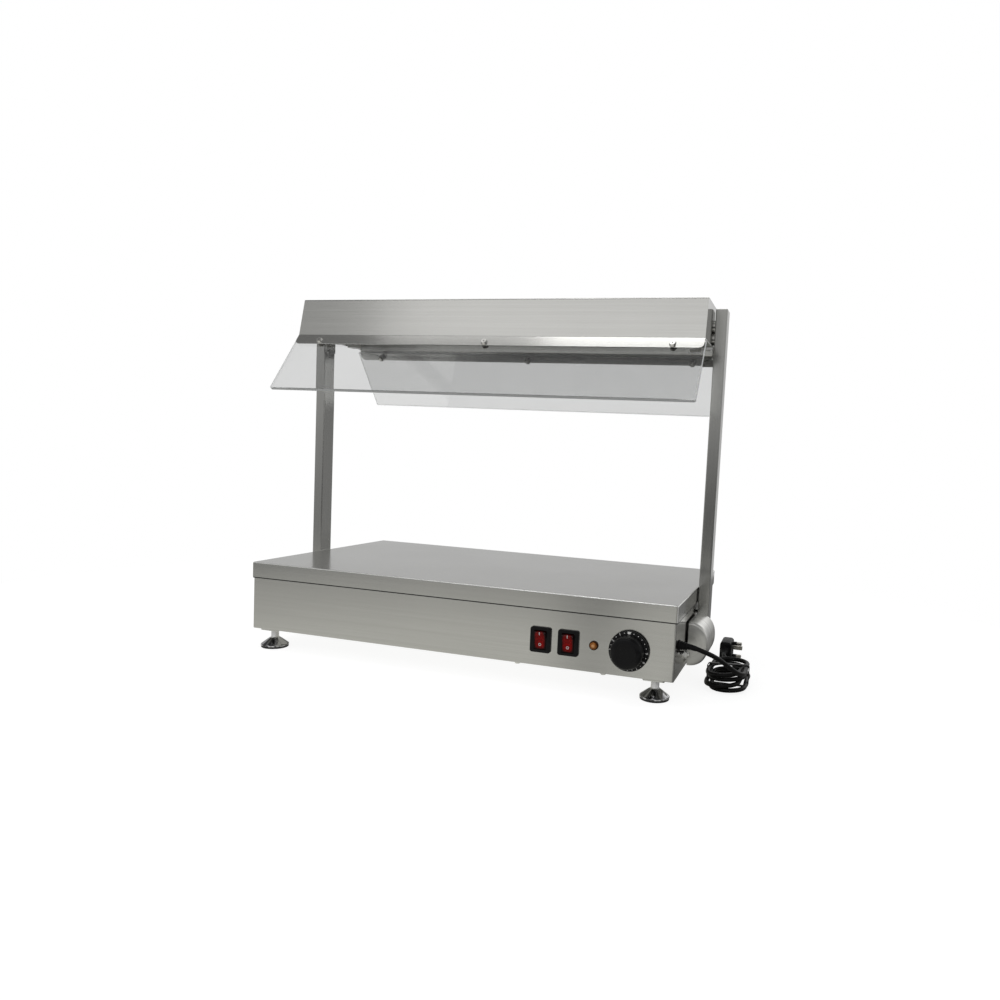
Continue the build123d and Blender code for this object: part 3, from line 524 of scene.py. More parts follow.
def clearSelection():
    if bpy.context.object and bpy.context.object.mode != "OBJECT":
        objectMode()
    bpy.ops.object.select_all(action="DESELECT")


def named(name):
    piece = bpy.context.object
    piece.name = name
    piece.data.name = name
    return piece


def only(piece):
    clearSelection()
    piece.select_set(True)
    bpy.context.view_layer.objects.active = piece


def applyPlace():
    bpy.ops.object.transform_apply(location=True, rotation=True, scale=True)


def selectAll():
    bpy.ops.mesh.select_all(action="SELECT")


def pick(piece, kind, test):
    bpy.ops.mesh.select_mode(type={"verts": "VERT", "edges": "EDGE", "faces": "FACE"}[kind])
    bpy.ops.mesh.select_all(action="DESELECT")
    mesh = bmesh.from_edit_mesh(piece.data)
    for item in getattr(mesh, kind):
        item.select_set(bool(test(item)))
    mesh.select_flush_mode()
    bmesh.update_edit_mesh(piece.data)


def pickLong(piece, axis, length):
    pick(piece, "edges", lambda edge: abs(edge.verts[0].co[axis] - edge.verts[1].co[axis]) > length)


def extrude(move):
    bpy.ops.mesh.extrude_region_move(TRANSFORM_OT_translate={"value": move})


def inset(*steps):
    for thick, deep in steps:
        bpy.ops.mesh.inset(thickness=thick, depth=deep)


def faceOutwards():
    selectAll()
    bpy.ops.mesh.normals_make_consistent(inside=False)
    objectMode()


def applyModifier(piece, kind, settings):
    only(piece)
    modifier = piece.modifiers.new(kind.lower(), kind)
    for key, value in settings.items():
        setattr(modifier, key, value)
    bpy.ops.object.modifier_apply(modifier=modifier.name)


def settle(piece, finish, body, angle=32.0):
    only(piece)
    applyPlace()
    bpy.ops.object.shade_smooth_by_angle(angle=math.radians(angle))
    piece.data.materials.clear()
    piece.data.materials.append(finishes[finish])
    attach(piece, body)
    return piece


# the mesh just added, brought to its size and left open for editing
def sized(name, size):
    piece = named(name)
    piece.scale = size
    applyPlace()
    editMode()
    return piece


def block(name, size, place):
    clearSelection()
    bpy.ops.mesh.primitive_cube_add(size=1.0, location=place)
    return sized(name, size)


# a line of points drawn vertex by vertex, left open for editing
def drawnLine(name, points):
    clearSelection()
    bpy.ops.mesh.primitive_plane_add(size=0.001)
    piece = named(name)
    editMode()
    bpy.ops.mesh.select_mode(type="VERT")
    selectAll()
    bpy.ops.mesh.merge(type="CENTER")
    bpy.ops.transform.translate(value=points[0])
    for last, here in zip(points, points[1:]):
        bpy.ops.mesh.extrude_vertices_move(TRANSFORM_OT_translate={"value": here - last})
    selectAll()
    return piece


# a profile of (radius, along) points spun about an axis
def lathe(name, profile, centre, axis, steps):
    across = Vector((1.0, 0.0, 0.0) if axis[2] else (0.0, 0.0, 1.0))
    points = [Vector(centre) + across * radius + Vector(axis) * reach for radius, reach in profile]
    piece = drawnLine(name, points)
    bpy.ops.mesh.spin(steps=steps, angle=2.0 * math.pi, center=centre, axis=axis)
    selectAll()
    bpy.ops.mesh.remove_doubles(threshold=sameVert)
    faceOutwards()
    return piece


def copied(piece, name, move=(0.0, 0.0, 0.0)):
    double = piece.copy()
    double.data = piece.data.copy()
    double.name = name
    double.data.name = name
    bpy.context.scene.collection.objects.link(double)
    double.data.transform(Matrix.Translation(move))
    return double


# mains cord: out of the gland, four loose turns under a tie, then up to the plug
cordShape = {
    "diameter": 0.0056,
    "length": 1.05,
    "lead": [
        (0.2905, -0.135, -0.051), (0.303, -0.135, -0.051), (0.3165, -0.1325, -0.0556),
        (0.3275, -0.126, -0.061), (0.337, -0.118, -0.068), (0.346, -0.109, -0.077),
        (0.3545, -0.100, -0.085), (0.3605, -0.0885, -0.0895), (0.3620, -0.0745, -0.0917),
    ],
    "tail": [
        (0.362, -0.0234, -0.1115), (0.363, -0.008, -0.1115), (0.3555, 0.0085, -0.1105),
        (0.3305, 0.024, -0.104), (0.323, 0.0385, -0.0995), (0.323, 0.052, -0.0995),
    ],
    "middle": -0.046,
    "runReach": 0.007,
    "runShare": 0.3,
    "foldPoints": 6,
    "turns": [  # runs are (x, height) at their front and rear ends, folds the y they reach
        {"right": [(0.3618, -0.0915), (0.3618, -0.0910)], "rear": -0.0105,
         "left": [(0.3160, -0.0960), (0.3190, -0.0925)], "front": -0.0860},
        {"right": [(0.3550, -0.0920), (0.3570, -0.0975)], "rear": -0.0085,
         "left": [(0.3180, -0.1025), (0.3165, -0.0985)], "front": -0.0805},
        {"right": [(0.3610, -0.0983), (0.3625, -0.1035)], "rear": -0.0120,
         "left": [(0.3150, -0.1085), (0.3200, -0.1045)], "front": -0.0890},
        {"right": [(0.3550, -0.1046), (0.3550, -0.1100)], "rear": -0.0090,
         "left": [(0.3210, -0.1130), (0.3180, -0.1110)], "front": -0.0870},
        {"right": [(0.3625, -0.1105), (0.3620, -0.1115)]},
    ],
}


# half a turn from one run to the next, by the corners of an even figure drawn round its circle
def cordFold(start, end, reach, way, points):
    middle, radius = (start[0] + end[0]) / 2, abs(start[0] - end[0]) / 2
    side = 1.0 if start[0] > end[0] else -1.0
    out = radius / math.cos(math.pi / points / 2)
    corners = []
    for number in range(points):
        share = (number + 0.5) / points
        turn = math.pi * share
        fall = share * share * (3.0 - 2.0 * share)
        x = middle + side * out * math.cos(turn)
        y = reach - way * radius + way * out * math.sin(turn)
        corners.append((x, y, start[1] + (end[1] - start[1]) * fall))
    return corners


# a run through the tie, by a point on each side of it
def cordRun(start, end, way, shape):
    reach = way * shape["runReach"]
    drop = shape["runShare"] * (end[1] - start[1])
    return [(start[0], shape["middle"] - reach, start[1] + drop),
            (end[0], shape["middle"] + reach, end[1] - drop)]


def hankTurns(shape):
    route = []
    points = shape["foldPoints"]
    for turn, following in zip(shape["turns"], shape["turns"][1:] + [None]):
        rightFront, rightRear = turn["right"]
        route += cordRun(rightFront, rightRear, 1.0, shape)
        if following:
            leftFront, leftRear = turn["left"]
            route += cordFold(rightRear, leftRear, turn["rear"], 1.0, points)
            route += cordRun(leftRear, leftFront, -1.0, shape)
            route += cordFold(leftFront, following["right"][0], turn["front"], -1.0, points)
    return route


def makeCord(shape):
    route = shape["lead"] + hankTurns(shape) + shape["tail"]
    curve = bpy.data.curves.new("mainsCord", "CURVE")
    curve.dimensions = "3D"
    line = curve.splines.new("NURBS")
    line.points.add(len(route) - 1)
    for point, place in zip(line.points, route):
        point.co = (*place, 1.0)
    line.order_u = 3
    line.use_endpoint_u = True
    line.use_smooth = True
    line.resolution_u = 6
    curve.bevel_depth = shape["diameter"] / 2
    curve.bevel_resolution = 5
    curve.use_fill_caps = True
    cord = bpy.data.objects.new("mainsCord", curve)
    bpy.context.scene.collection.objects.link(cord)
    curve.materials.append(finishes["flex"])
    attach(cord, "warmer")
    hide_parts("cord_lead", "cord_hank", "cord_tail")
    return cord


mainsCord = makeCord(cordShape)

# tie strap round the waist of the hank, its upper left corner let down on the turns
tieShape = {
    "middle": (0.33905, -0.046, -0.1017),
    "size": (0.0531, 0.007, 0.0284),
    "corner": 0.0036,
    "slack": 0.003,
    "thick": 0.0008,
    "edge": 0.00025,
}


def makeTie(shape):
    tie = block("cordTie", shape["size"], shape["middle"])
    pick(tie, "faces", lambda face: abs(face.normal.y) > faceOn)
    bpy.ops.mesh.delete(type="FACE")
    pick(tie, "verts", lambda vert: vert.co.x < shape["middle"][0] and vert.co.z > shape["middle"][2])
    bpy.ops.transform.translate(value=(0.0, 0.0, -shape["slack"]))
    pickLong(tie, 1, shape["size"][1] / 2)
    bpy.ops.mesh.bevel(offset=shape["corner"], segments=8, affect="EDGES")
    objectMode()
    applyModifier(tie, "SOLIDIFY", {"thickness": shape["thick"], "offset": -1.0})
    applyModifier(tie, "BEVEL", {"width": shape["edge"], "segments": 2, "limit_method": "ANGLE"})
    settle(tie, "flex", "warmer")
    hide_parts("cord_tie")
    return tie


cordTie = makeTie(tieShape)

# moulded plug: rounded body, finger panel on its back, ribbed cord sleeve and sleeved pins
plugShape = {
    "middle": (0.3236, 0.080, -0.1018),
    "size": (0.0164, 0.0336, 0.0282),
    "corner": 0.0042,
    "ends": [(0.0003, 0.0011), (0.0008, 0.0008), (0.0011, 0.0003)],
    "backPanel": [(0.0045, 0.0), (0.0009, -0.0009)],
    "pinPanel": [(0.0022, 0.0), (0.0005, -0.0005)],
    "flatArea": 0.0003,
    "sleeveStart": (0.323, 0.061, -0.0995),
    "sleeve": [
        (0.0, 0.0005), (0.0056, 0.0005), (0.0056, -0.0008), (0.0051, -0.0010), (0.0047, -0.0014),
        (0.0047, -0.0022), (0.0052, -0.0024), (0.0051, -0.0034), (0.0045, -0.0037), (0.0043, -0.0045),
        (0.0047, -0.0047), (0.0046, -0.0057), (0.0040, -0.0060), (0.0038, -0.0068), (0.0041, -0.0070),
        (0.0040, -0.0080), (0.0035, -0.0084), (0.0034, -0.0092), (0.0037, -0.0094), (0.0036, -0.0104),
        (0.0032, -0.0107), (0.0031, -0.0115), (0.0034, -0.0117), (0.0033, -0.0127), (0.0030, -0.0130),
        (0.0031, -0.0160), (0.0026, -0.0161),
    ],
    "pinSleeves": [(0.3349, 0.0740, -0.0905), (0.3349, 0.0740, -0.1085)],
    "pinSleeve": (0.0060, 0.0064, 0.0044),
    "pinCorner": 0.0006,
    "pinLip": 0.00015,
}


def makePlug(shape):
    plug = block("plugMoulding", shape["size"], shape["middle"])
    pickLong(plug, 1, shape["size"][1] / 2)
    bpy.ops.mesh.bevel(offset=shape["corner"], segments=6, affect="EDGES")
    for way in (1.0, -1.0):
        pick(plug, "faces", lambda face: face.normal.y * way > faceOn)
        inset(*shape["ends"])
    for way, panel in ((-1.0, "backPanel"), (1.0, "pinPanel")):
        pick(plug, "faces", lambda face: face.normal.x * way > faceOn
             and face.calc_area() > shape["flatArea"])
        inset(*shape[panel])
    objectMode()
    settle(plug, "black", "warmer")
    sleeve = lathe("plugSleeve", shape["sleeve"], shape["sleeveStart"], (0.0, 1.0, 0.0), steps=40)
    settle(sleeve, "black", "warmer", angle=50.0)
    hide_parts("plug_body")
    pieces = [plug, sleeve]
    model = block("pinSleeve", shape["pinSleeve"], (0.0, 0.0, 0.0))
    pickLong(model, 0, shape["pinSleeve"][0] / 2)
    bpy.ops.mesh.bevel(offset=shape["pinCorner"], segments=3, affect="EDGES")
    pick(model, "faces", lambda face: face.normal.x > faceOn)
    inset((shape["pinLip"], shape["pinLip"]))
    objectMode()
    for number, place in enumerate(shape["pinSleeves"]):
        root = copied(model, "pinSleeve_%d" % (number + 1), place)
        pieces.append(settle(root, "black", "warmer"))
    bpy.data.objects.remove(model)
    return pieces


plugPieces = makePlug(plugShape)
print("cord, tie and plug made")


# cord bush in the side wall: flange against the sheet, then a ribbed taper round the cord
bushShape = {
    "start": (0.2885, -0.135, -0.051),
    "profile": [
        (0.0045, 0.0001), (0.0064, 0.0001), (0.0066, 0.0006), (0.0062, 0.0014), (0.0052, 0.0018),
        (0.0050, 0.0026), (0.0055, 0.0030), (0.0053, 0.0042), (0.0046, 0.0046), (0.0045, 0.0054),
        (0.0050, 0.0058), (0.0048, 0.0070), (0.0041, 0.0074), (0.0040, 0.0082), (0.0044, 0.0086),
        (0.0042, 0.0098), (0.0036, 0.0104), (0.0034, 0.0112), (0.0038, 0.0116), (0.0037, 0.0126),
        (0.0033, 0.0130), (0.0032, 0.0140), (0.0034, 0.0146), (0.0032, 0.0200), (0.0027, 0.0204),
        (0.0027, 0.0020),
    ],
    "bendStart": 0.006,
    "bendReach": 0.014,
    "bend": (0.0010, -0.0020),
}


def makeBush(shape):
    bush = lathe("cordBush", shape["profile"], shape["start"], (1.0, 0.0, 0.0), steps=48)
    for vert in bush.data.vertices:  # the soft end follows the cord as it bends away
        past = max(0.0, vert.co.x - shape["start"][0] - shape["bendStart"]) / shape["bendReach"]
        vert.co.y += shape["bend"][0] * past * past
        vert.co.z += shape["bend"][1] * past * past
    settle(bush, "black", "warmer", angle=50.0)
    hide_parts("cable_gland")


makeBush(bushShape)
print("cord bush made")


# half-round wiring cover beside the right post
coverShape = {
    "wall": 0.2905,
    "middle": -0.0618,
    "reach": 0.0254,
    "half": 0.0274,
    "bulge": (0.85, 0.9),
    "front": -0.080,
    "back": -0.0126,
    "rim": 0.003,
    "points": 28,
}
finishes["cover"] = brushedSteel("satin steel cover", "round", roughness=0.32, lift=2.0,
                                 spun=(coverShape["wall"], coverShape["middle"]))


def makeCover(shape):
    outline = []
    for number in range(shape["points"] + 1):
        turn = math.pi * number / shape["points"]
        out = shape["reach"] * math.sin(turn) ** shape["bulge"][0]
        rise = math.copysign(abs(math.cos(turn)) ** shape["bulge"][1], math.cos(turn))
        outline.append(Vector((shape["wall"] + out, shape["back"], shape["middle"] + shape["half"] * rise)))
    cover = drawnLine("wiringCover", outline)
    bpy.ops.mesh.edge_face_add()
    extrude((0.0, shape["front"] - shape["back"], 0.0))
    pick(cover, "edges", lambda edge: all(abs(vert.co.y - shape["front"]) < samePlace for vert in edge.verts)
         and max(vert.co.x for vert in edge.verts) > shape["wall"] + samePlace)
    bpy.ops.mesh.bevel(offset=shape["rim"], segments=5, affect="EDGES")
    faceOutwards()
    settle(cover, "cover", "warmer", angle=40.0)
    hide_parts("wiring_cover")


makeCover(coverShape)
print("wiring cover made")


# dark strip in the gap under the lid's lower edge, a painted shadow of that gap
lidShadowShape = {
    "half": (0.2896, 0.1596),
    "corner": 0.0021,
    "wide": 0.0010,
    "top": -0.0199,
    "low": -0.0214,
}


def makeJoint(shape):
    clearSelection()
    bpy.ops.mesh.primitive_plane_add(size=2.0, location=(0.0, 0.0, shape["top"]))
    shadowStrip = sized("lidShadowStrip", (*shape["half"], 1.0))
    selectAll()
    bpy.ops.mesh.bevel(offset=shape["corner"], segments=5, affect="VERTICES")
    pick(shadowStrip, "faces", lambda face: True)
    inset((shape["wide"], 0.0))
    bpy.ops.mesh.delete(type="FACE")
    selectAll()
    extrude((0.0, 0.0, shape["low"] - shape["top"]))
    faceOutwards()
    # near-black finish, the painted shadow of the gap
    settle(shadowStrip, "recess", "warmer")


makeJoint(lidShadowShape)
print("lid joint made")


# levelling feet: threaded stem with a plain neck over a cone with a rolled rim
footShape = {
    "places": {
        "front_left": (-0.2645, -0.1435), "front_right": (0.2645, -0.1435),
        "rear_left": (-0.2645, 0.1435), "rear_right": (0.2645, 0.1435),
    },
    "top": [(0.0, -0.060), (0.0041, -0.060)],
    "threadTop": -0.0605,
    "threadEnd": -0.0885,
    "pitch": 0.0014,
    "crest": 0.00498,
    "crestShares": (0.42, 0.58),
    "root": 0.00438,
    "cone": [
        (0.0048, -0.0895), (0.0050, -0.0898), (0.0050, -0.1018), (0.0056, -0.1026), (0.0068, -0.1034),
        (0.0100, -0.1057), (0.0135, -0.1084), (0.0165, -0.1107), (0.0175, -0.1115), (0.01785, -0.1120),
        (0.01798, -0.1126), (0.0178, -0.1131), (0.0172, -0.1132), (0.0, -0.1132),
    ],
}


def makeFeet(shape):
    profile = list(shape["top"])
    height = shape["threadTop"]
    while height > shape["threadEnd"]:
        profile.append((shape["root"], height))
        profile += [(shape["crest"], height - share * shape["pitch"]) for share in shape["crestShares"]]
        height -= shape["pitch"]
    profile += shape["cone"]
    model = lathe("levellingFoot", profile, (0.0, 0.0, 0.0), (0.0, 0.0, 1.0), steps=56)
    for corner, (x, y) in shape["places"].items():
        foot = copied(model, "levellingFoot_" + corner, (x, y, 0.0))
        settle(foot, "chrome", "foot_" + corner, angle=40.0)
        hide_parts("foot_" + corner)
    bpy.data.objects.remove(model)


makeFeet(footShape)
print("feet made")


# white wedge at zero, numbers and dots on the cone ring of the knob; the wedge is an index mark that also
# stands in as a painted highlight of the ring's glint
dialShape = {
    "centre": (0.2346, -0.1585, -0.0584),
    "ringRadius": 0.0218,
    "ringReach": 0.00527,
    "slope": math.atan2(1.2, 3.0),
    "numberSize": 0.0041,
    "numberWeight": 0.00010,
    "numberStep": 30.0,
    "numbers": 10,
    "places": 24,
    "dot": 0.00052,
    "dotSides": 14,
    "dotEdge": 0.0001,
    "wedge": (0.0023, 0.0016, 0.0028),
    "wedgeEdge": 0.0002,
    "thick": 0.00006,
}


def dialPlace(shape, degrees):
    # local X along the ring, local Y outwards down the cone, local Z off the cone
    turn = math.radians(degrees)
    out = Vector((math.sin(turn), 0.0, math.cos(turn)))
    front = Vector((0.0, -1.0, 0.0))
    side = Vector((math.cos(turn), 0.0, -math.sin(turn)))
    slope = shape["slope"]
    up = out * math.cos(slope) - front * math.sin(slope)
    off = front * math.cos(slope) + out * math.sin(slope)
    spot = Vector(shape["centre"]) + out * shape["ringRadius"] + front * shape["ringReach"]
    return axesAt(spot, side, up, off)


def raiseMark(thick, edge):
    extrude((0.0, 0.0, thick))
    inset((edge, 0.0))
    objectMode()


# white index wedge at zero, also a painted highlight standing in for the ring's glint
def indexWedge(shape):
    outer, inner, tall = shape["wedge"]
    bpy.ops.mesh.primitive_plane_add(size=1.0)
    wedge = named("dialIndexGlint")
    editMode()
    bpy.ops.transform.resize(value=(2.0 * outer, tall, 1.0))
    pick(wedge, "verts", lambda vert: vert.co.y < 0.0)
    bpy.ops.transform.resize(value=(inner / outer, 1.0, 1.0))
    selectAll()
    raiseMark(shape["thick"], shape["wedgeEdge"])
    return wedge


def dialNumber(shape, number):
    bpy.ops.object.text_add()
    text = bpy.context.object.data
    text.body = str(number)
    text.size = shape["numberSize"]
    text.offset = shape["numberWeight"]
    text.align_x = "CENTER"
    text.align_y = "CENTER"
    text.extrude = shape["thick"]
    bpy.ops.object.convert(target="MESH")
    return named("dialNumber")


def dialDot(shape):
    bpy.ops.mesh.primitive_circle_add(vertices=shape["dotSides"], radius=shape["dot"], fill_type="NGON")
    dot = named("dialDot")
    editMode()
    raiseMark(shape["thick"], shape["dotEdge"])
    return dot


def makeDial(shape):
    clearSelection()
    model = dialDot(shape)
    marks = []
    for place in range(shape["places"]):
        degrees = 360.0 * place / shape["places"]
        number, rest = divmod(degrees, shape["numberStep"])
        clearSelection()
        if place == 0:
            mark = indexWedge(shape)
        elif rest == 0.0 and number < shape["numbers"]:
            mark = dialNumber(shape, int(number))
        else:
            mark = copied(model, "dialDot_%d" % place)
        mark.matrix_world = dialPlace(shape, -degrees)
        only(mark)
        applyPlace()
        marks.append(mark)
    bpy.data.objects.remove(model)
    only(marks[0])
    for mark in marks:
        mark.select_set(True)
    bpy.ops.object.join()
    settle(named("dialMarks"), "marks", "knob")


makeDial(dialShape)
print("dial made")


# switch marks laid on the rockers: a bar above, a ring below
switchShape = {
    "places": {"left": 0.125, "right": 0.160},
    "front": -0.180,
    "height": -0.058,
    "barHeight": 0.0080,
    "ringHeight": -0.0054,
    "bar": (0.0010, 0.0034),
    "barCuts": 4,
    "ring": (0.0018, 0.0010),
    "ringSides": 36,
    "thick": 0.0001,
    "lift": 0.00004,
}


def makeSwitchMarks(shape):
    upright = (math.pi / 2, 0.0, 0.0)
    clearSelection()
    place = (0.0, shape["front"], shape["height"] + shape["barHeight"])
    bpy.ops.mesh.primitive_plane_add(size=1.0, rotation=upright, location=place)
    model = sized("switchMarks", (*shape["bar"], 1.0))
    bpy.ops.mesh.subdivide(number_cuts=shape["barCuts"])
    clearSelection()
    place = (0.0, shape["front"], shape["height"] + shape["ringHeight"])
    bpy.ops.mesh.primitive_circle_add(vertices=shape["ringSides"], radius=shape["ring"][0],
                                      fill_type="NGON", rotation=upright, location=place)
    ring = named("switchRing")
    editMode()
    inset((shape["ring"][0] - shape["ring"][1], 0.0))
    bpy.ops.mesh.delete(type="FACE")
    only(model)
    ring.select_set(True)
    bpy.ops.object.join()
    for side, x in shape["places"].items():
        mark = copied(model, "switchMarks_" + side, (x, 0.0, 0.0))
        applyModifier(mark, "SHRINKWRAP", {
            "target": nodes["switch_rocker_" + side], "wrap_method": "PROJECT", "use_project_y": True,
            "use_positive_direction": True, "use_negative_direction": False, "offset": shape["lift"]})
        applyModifier(mark, "SOLIDIFY", {"thickness": shape["thick"], "offset": 0.0})
        settle(mark, "marks", "rocker_" + side)
    bpy.data.objects.remove(model)


makeSwitchMarks(switchShape)
print("switch marks made")


# dark crosses laid on the heads of the six glass screws, painted shade standing in for their cross recesses
recessShape = {
    "places": (-0.250, 0.0, 0.250),
    "crease": (0.0763, 0.315),
    "down": 0.011,
    "lean": math.radians(36.0),
    "rise": 0.00255,
    "arm": 0.0014,
    "wide": 0.0006,
    "taper": 0.7,
    "flatten": 0.2,
    "firstTurn": 0.5,
}


def makeRecesses(shape):
    clearSelection()
    bpy.ops.mesh.primitive_cube_add(size=shape["wide"])
    model = named("crossRecess")
    editMode()
    reach = shape["arm"] - shape["wide"] / 2
    for x, y in ((1.0, 0.0), (-1.0, 0.0), (0.0, 1.0), (0.0, -1.0)):
        pick(model, "faces", lambda face: face.normal.x * x + face.normal.y * y > faceOn
             and face.calc_center_median().xy.length < shape["wide"])
        extrude((x * reach, y * reach, 0.0))
        bpy.ops.transform.resize(value=(shape["taper"] if y else 1.0, shape["taper"] if x else 1.0, 1.0))
    selectAll()
    bpy.ops.transform.resize(value=(1.0, 1.0, shape["flatten"]))
    objectMode()
    y, z = shape["crease"]
    lean = shape["lean"]
    for name, sign in (("front", 1.0), ("rear", -1.0)):
        off = Vector((0.0, -sign * math.cos(lean), math.sin(lean)))
        side = Vector((sign, 0.0, 0.0))
        upslope = off.cross(side)
        for number, x in enumerate(shape["places"]):
            spot = Vector((x, -sign * y, z)) - upslope * shape["down"] + off * shape["rise"]
            turn = Matrix.Rotation(shape["firstTurn"] + number, 4, "Z")
            recess = copied(model, "crossRecess_%s_%d" % (name, number + 1))
            recess.matrix_world = axesAt(spot, side, upslope, off) @ turn
            settle(recess, "recess", "warmer")
    bpy.data.objects.remove(model)


makeRecesses(recessShape)
print("screw recesses made")


# wound filaments inside the quartz tubes of the heat lamps
filamentShape = {
    "places": {"front": -0.020, "rear": 0.020},
    "height": 0.322,
    "half": 0.235,
    "coil": 0.0026,
    "wire": 0.00035,
    "wireSides": 6,
    "turns": 190,
    "turnSteps": 12,
}


def makeFilaments(shape):
    clearSelection()
    bpy.ops.mesh.primitive_circle_add(vertices=shape["wireSides"], radius=shape["wire"])
    model = named("filament")
    editMode()
    bpy.ops.transform.rotate(value=math.pi / 2, orient_axis="X", center_override=(0.0, 0.0, 0.0))
    bpy.ops.transform.translate(value=(shape["coil"], 0.0, 0.0))
    objectMode()
    applyModifier(model, "SCREW", {
        "axis": "Z", "angle": 2.0 * math.pi, "screw_offset": 2.0 * shape["half"] / shape["turns"],
        "iterations": shape["turns"], "steps": shape["turnSteps"], "render_steps": shape["turnSteps"],
        "use_normal_calculate": True})
    for name, y in shape["places"].items():
        coil = copied(model, "filament_" + name)
        coil.matrix_world = (Matrix.Translation((-shape["half"], y, shape["height"]))
                             @ Matrix.Rotation(math.pi / 2, 4, "Y"))
        settle(coil, "filament", "warmer", angle=60.0)
    bpy.data.objects.remove(model)


makeFilaments(filamentShape)
print("filaments made")


# finishes of the CAD nodes that no piece replaces
nodeFinishes = {
    "folded": ["top_plate"],
    "sheet": ["base_body", "bottom_cover", "element_clamps", "hood_shell", "hood_end_left",
              "hood_end_right", "hood_brackets",
              *["foot_plate_" + corner for corner in footShape["places"]]],
    "upright": ["post_left", "post_right", "post_caps"],
    "fixings": ["bottom_cover_screws", "thermostat_spindle", "bonding_terminal", "spacer_washers",
                "gantry_bolts", "glass_screws"],
    "nuts": ["glass_nuts"],
    "heater": ["heating_element"],
    "reflector": ["reflector", "insulation_tray"],
    "copper": ["thermostat_bulb"],
    "pins": ["plug_pins"],
    "black": ["thermostat_body", "switch_housing_left", "switch_housing_right", "indicator_body"],
    "knob": ["thermostat_knob"],
    "red": ["switch_rocker_left", "switch_rocker_right"],
    "amber": ["indicator_lens"],
    "glass": ["glass_front", "glass_rear"],
    "quartz": ["heat_lamp_front", "heat_lamp_rear"],
    "rubber": ["foot_pad_" + corner for corner in footShape["places"]],
    "board": ["insulation_board"],
    "ceramic": ["terminal_block", "lamp_holders"],
}
paneEdges = {"lean": recessShape["lean"], "onSlope": 0.97, "groundPane": "glass_front", "turned": 0.5}


def dressNodes(table):
    for finish, names in table.items():
        for name in names:
            node = nodes[name]
            node.data.materials.clear()
            node.data.materials.append(finishes[finish])


# the panes slope, and every face that looks away from the slope's own line is an edge, ground
# along the bottom and right of the front pane and polished elsewhere
def grindEdges(names, edges):
    ahead, upright = math.cos(edges["lean"]), math.sin(edges["lean"])
    for name in names:
        mesh = nodes[name].data
        mesh.materials.append(finishes["ground"])
        mesh.materials.append(finishes["polished"])
        for face in mesh.polygons:
            x, y, z = face.normal
            onSlope = abs(y) * ahead + abs(z) * upright >= edges["onSlope"]
            ground = name == edges["groundPane"] and (z < -edges["turned"] or x > edges["turned"])
            face.material_index = 0 if onSlope else 1 if ground else 2


dressNodes(nodeFinishes)
grindEdges(nodeFinishes["glass"], paneEdges)
print("CAD nodes dressed")


# white table and studio light; a range says where a change starts and ends
studio = {
    "floor": -0.116,
    "tableGap": 0.0002,
    "tableRadius": 0.95,
    "tableThick": 0.02,
    "tableColour": (0.30, 0.30, 0.30),
    "tableGlow": 0.87,
    "white": (1.0, 1.0, 1.0),
    "mirrorTint": (1.0, 0.995, 0.93),
    "mirrorRange": (0.30, 0.70),
    "mirrorSheen": (0.70, 0.50),
    "shade": {"place": 0.231, "slant": 0.27, "wide": 0.10, "deep": 0.24},
    "farPatch": {"yRange": (-0.40, -0.22), "xRange": (0.255, 0.31), "sheen": 0.12},
    "frontPatch": {"yRange": (-0.45, -0.60), "xRange": (0.08, 0.17), "sheen": 0.20},
    "sidePatch": {"yRange": (-0.42, -0.55), "xRange": (0.25, 0.32), "sheen": 0.15},
    "ambient": 0.46,
    "backRange": (-0.2, 0.3),
    "behind": {"xRange": (0.05, 0.5), "sheen": (0.66, 0.33)},
    "flare": {"xRange": (0.0, 0.25), "zRange": (0.10, 0.32), "sheen": 0.62},
    "ahead": {"xRange": (-0.45, -0.15), "zRange": (-0.09, 0.115), "low": (0.34, 0.09), "high": 0.60},
    "ceiling": {"zRange": (0.5, 0.75), "sheen": 0.27},
    "lamps": {
        "overhead": {
            "place": (-0.025, -0.09, 1.32), "aim": (-0.025, -0.09, 0.0), "size": (0.55, 0.30), "power": 2.4},
        "overheadDim": {
            "place": (-0.55, 0.03, 1.32), "aim": (-0.55, 0.03, 0.0), "size": (0.50, 0.54), "power": 1.3},
        "key": {
            "place": (-0.435, -1.65, 1.44), "aim": (0.0, -0.07, 0.34), "size": (1.65, 0.90), "power": 3.6},
    },
}


# how brightly the table shows in the steel: less towards its rim and along a slanting band
def mirroredTable(top, stage):
    reach = top.node("VectorMath", {"operation": "LENGTH"}, {0: top.place()}, "Value")
    x, y, z = top.split(top.place())
    shade, far, front, side = [stage[key] for key in ("shade", "farPatch", "frontPatch", "sidePatch")]
    inFar, inFront, inSide = [top.between(y, *patch["yRange"]) * top.between(x, *patch["xRange"])
                              for patch in (far, front, side)]
    band = abs(x - y * shade["slant"] - shade["place"])
    sheen = top.between(reach, *stage["mirrorRange"], *stage["mirrorSheen"])
    sheen = sheen - top.between(band, shade["wide"], 0.0, 0.0, shade["deep"])
    sheen = sheen * (1.0 - inFar * (1.0 - far["sheen"]))
    sheen = sheen + inFront * front["sheen"]
    return sheen * (1.0 - inSide * (1.0 - side["sheen"]))


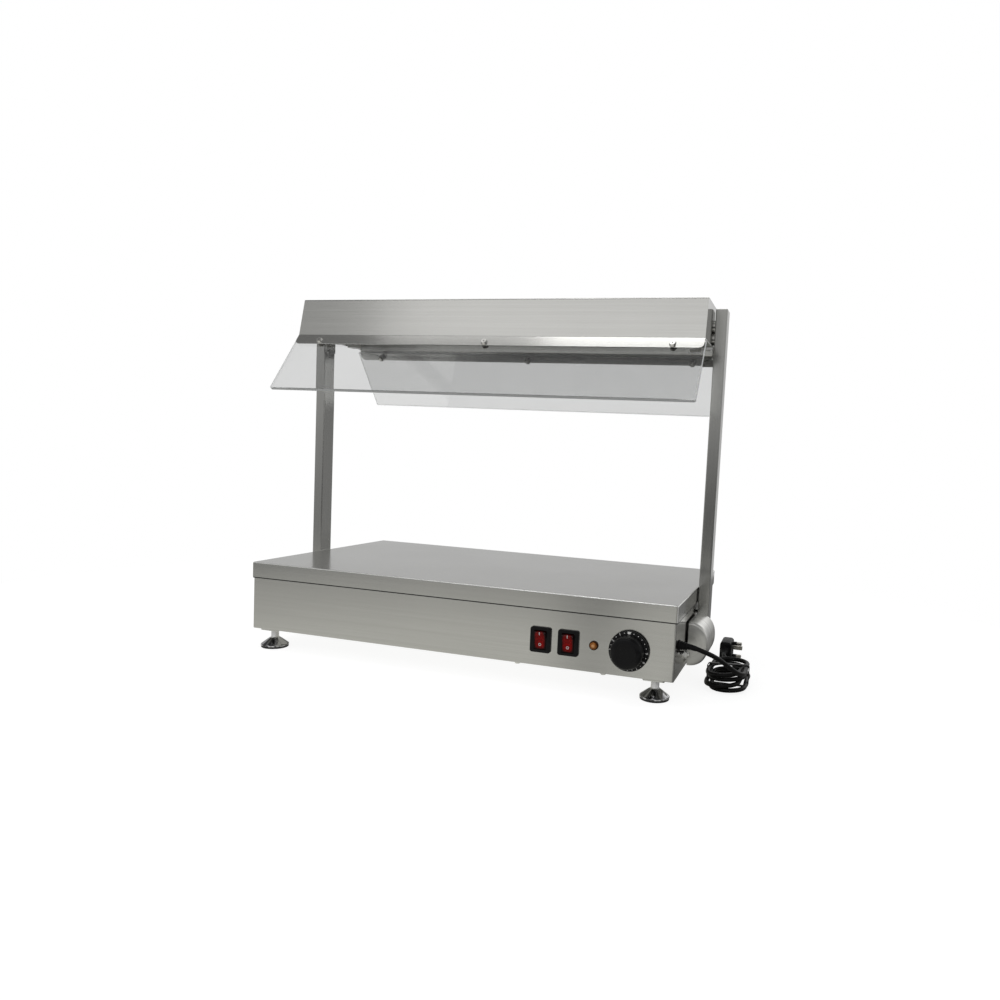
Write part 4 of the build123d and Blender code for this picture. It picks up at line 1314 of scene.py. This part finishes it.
def makeTable(stage):
    clearSelection()
    bpy.ops.mesh.primitive_circle_add(vertices=96, radius=stage["tableRadius"], fill_type="NGON",
                                      location=(0.0, 0.0, stage["floor"] - stage["tableGap"]))
    table = named("whiteTable")
    editMode()
    extrude((0.0, 0.0, -stage["tableThick"]))
    faceOutwards()
    top = Finish("white table")
    seen, mirrored = top.rays()
    plain = top.node("BsdfDiffuse", {}, {"Color": stage["tableColour"]})
    glow = top.node("Emission", {}, {
        "Color": top.blend(seen, stage["mirrorTint"], stage["white"]),
        "Strength": seen * stage["tableGlow"] + (1.0 - seen) * mirrored * mirroredTable(top, stage)})
    surface = top.node("AddShader", {}, {0: plain, 1: glow})
    top.feed(top.tree.nodes["Material Output"].inputs["Surface"], surface)
    table.data.materials.append(top.material)


def makeWorld(stage):
    world = bpy.data.worlds.new("studio")
    bpy.context.scene.world = world
    world.use_nodes = True
    sky = Shading(world.node_tree)
    x, y, z = sky.split(sky.node("TexCoord", output="Generated"))
    behind, flare, ahead, ceiling = [stage[key] for key in ("behind", "flare", "ahead", "ceiling")]
    inFlare = sky.between(x, *flare["xRange"]) * sky.between(z, *flare["zRange"])
    backSheen = sky.between(x, *behind["xRange"], *behind["sheen"]) + inFlare * flare["sheen"]
    lowSheen = sky.between(x, *ahead["xRange"], *ahead["low"])
    frontSheen = sky.between(z, *ahead["zRange"], lowSheen, ahead["high"])
    back = sky.between(y, *stage["backRange"])
    above = sky.between(z, *ceiling["zRange"])
    walls = back * backSheen + (1.0 - back) * frontSheen
    room = walls * (1.0 - above) + above * ceiling["sheen"]
    seen, mirrored = sky.rays()
    strength = seen + (1.0 - seen) * (mirrored * room + (1.0 - mirrored) * stage["ambient"])
    background = sky.tree.nodes["Background"]
    sky.feed(background.inputs["Strength"], strength)
    sky.feed(background.inputs["Color"], stage["white"])


def hangLamps(stage):
    for name, lamp in stage["lamps"].items():
        aim = Vector(lamp["aim"]) - Vector(lamp["place"])
        bpy.ops.object.light_add(type="AREA", location=lamp["place"],
                                 rotation=aim.to_track_quat("-Z", "Y").to_euler())
        light = bpy.context.object
        light.name = name + "Softbox"
        light.data.shape = "RECTANGLE"
        light.data.size, light.data.size_y = lamp["size"]
        light.data.energy = lamp["power"]
        light.visible_camera = False


makeTable(studio)
makeWorld(studio)
hangLamps(studio)
print("stage lit")
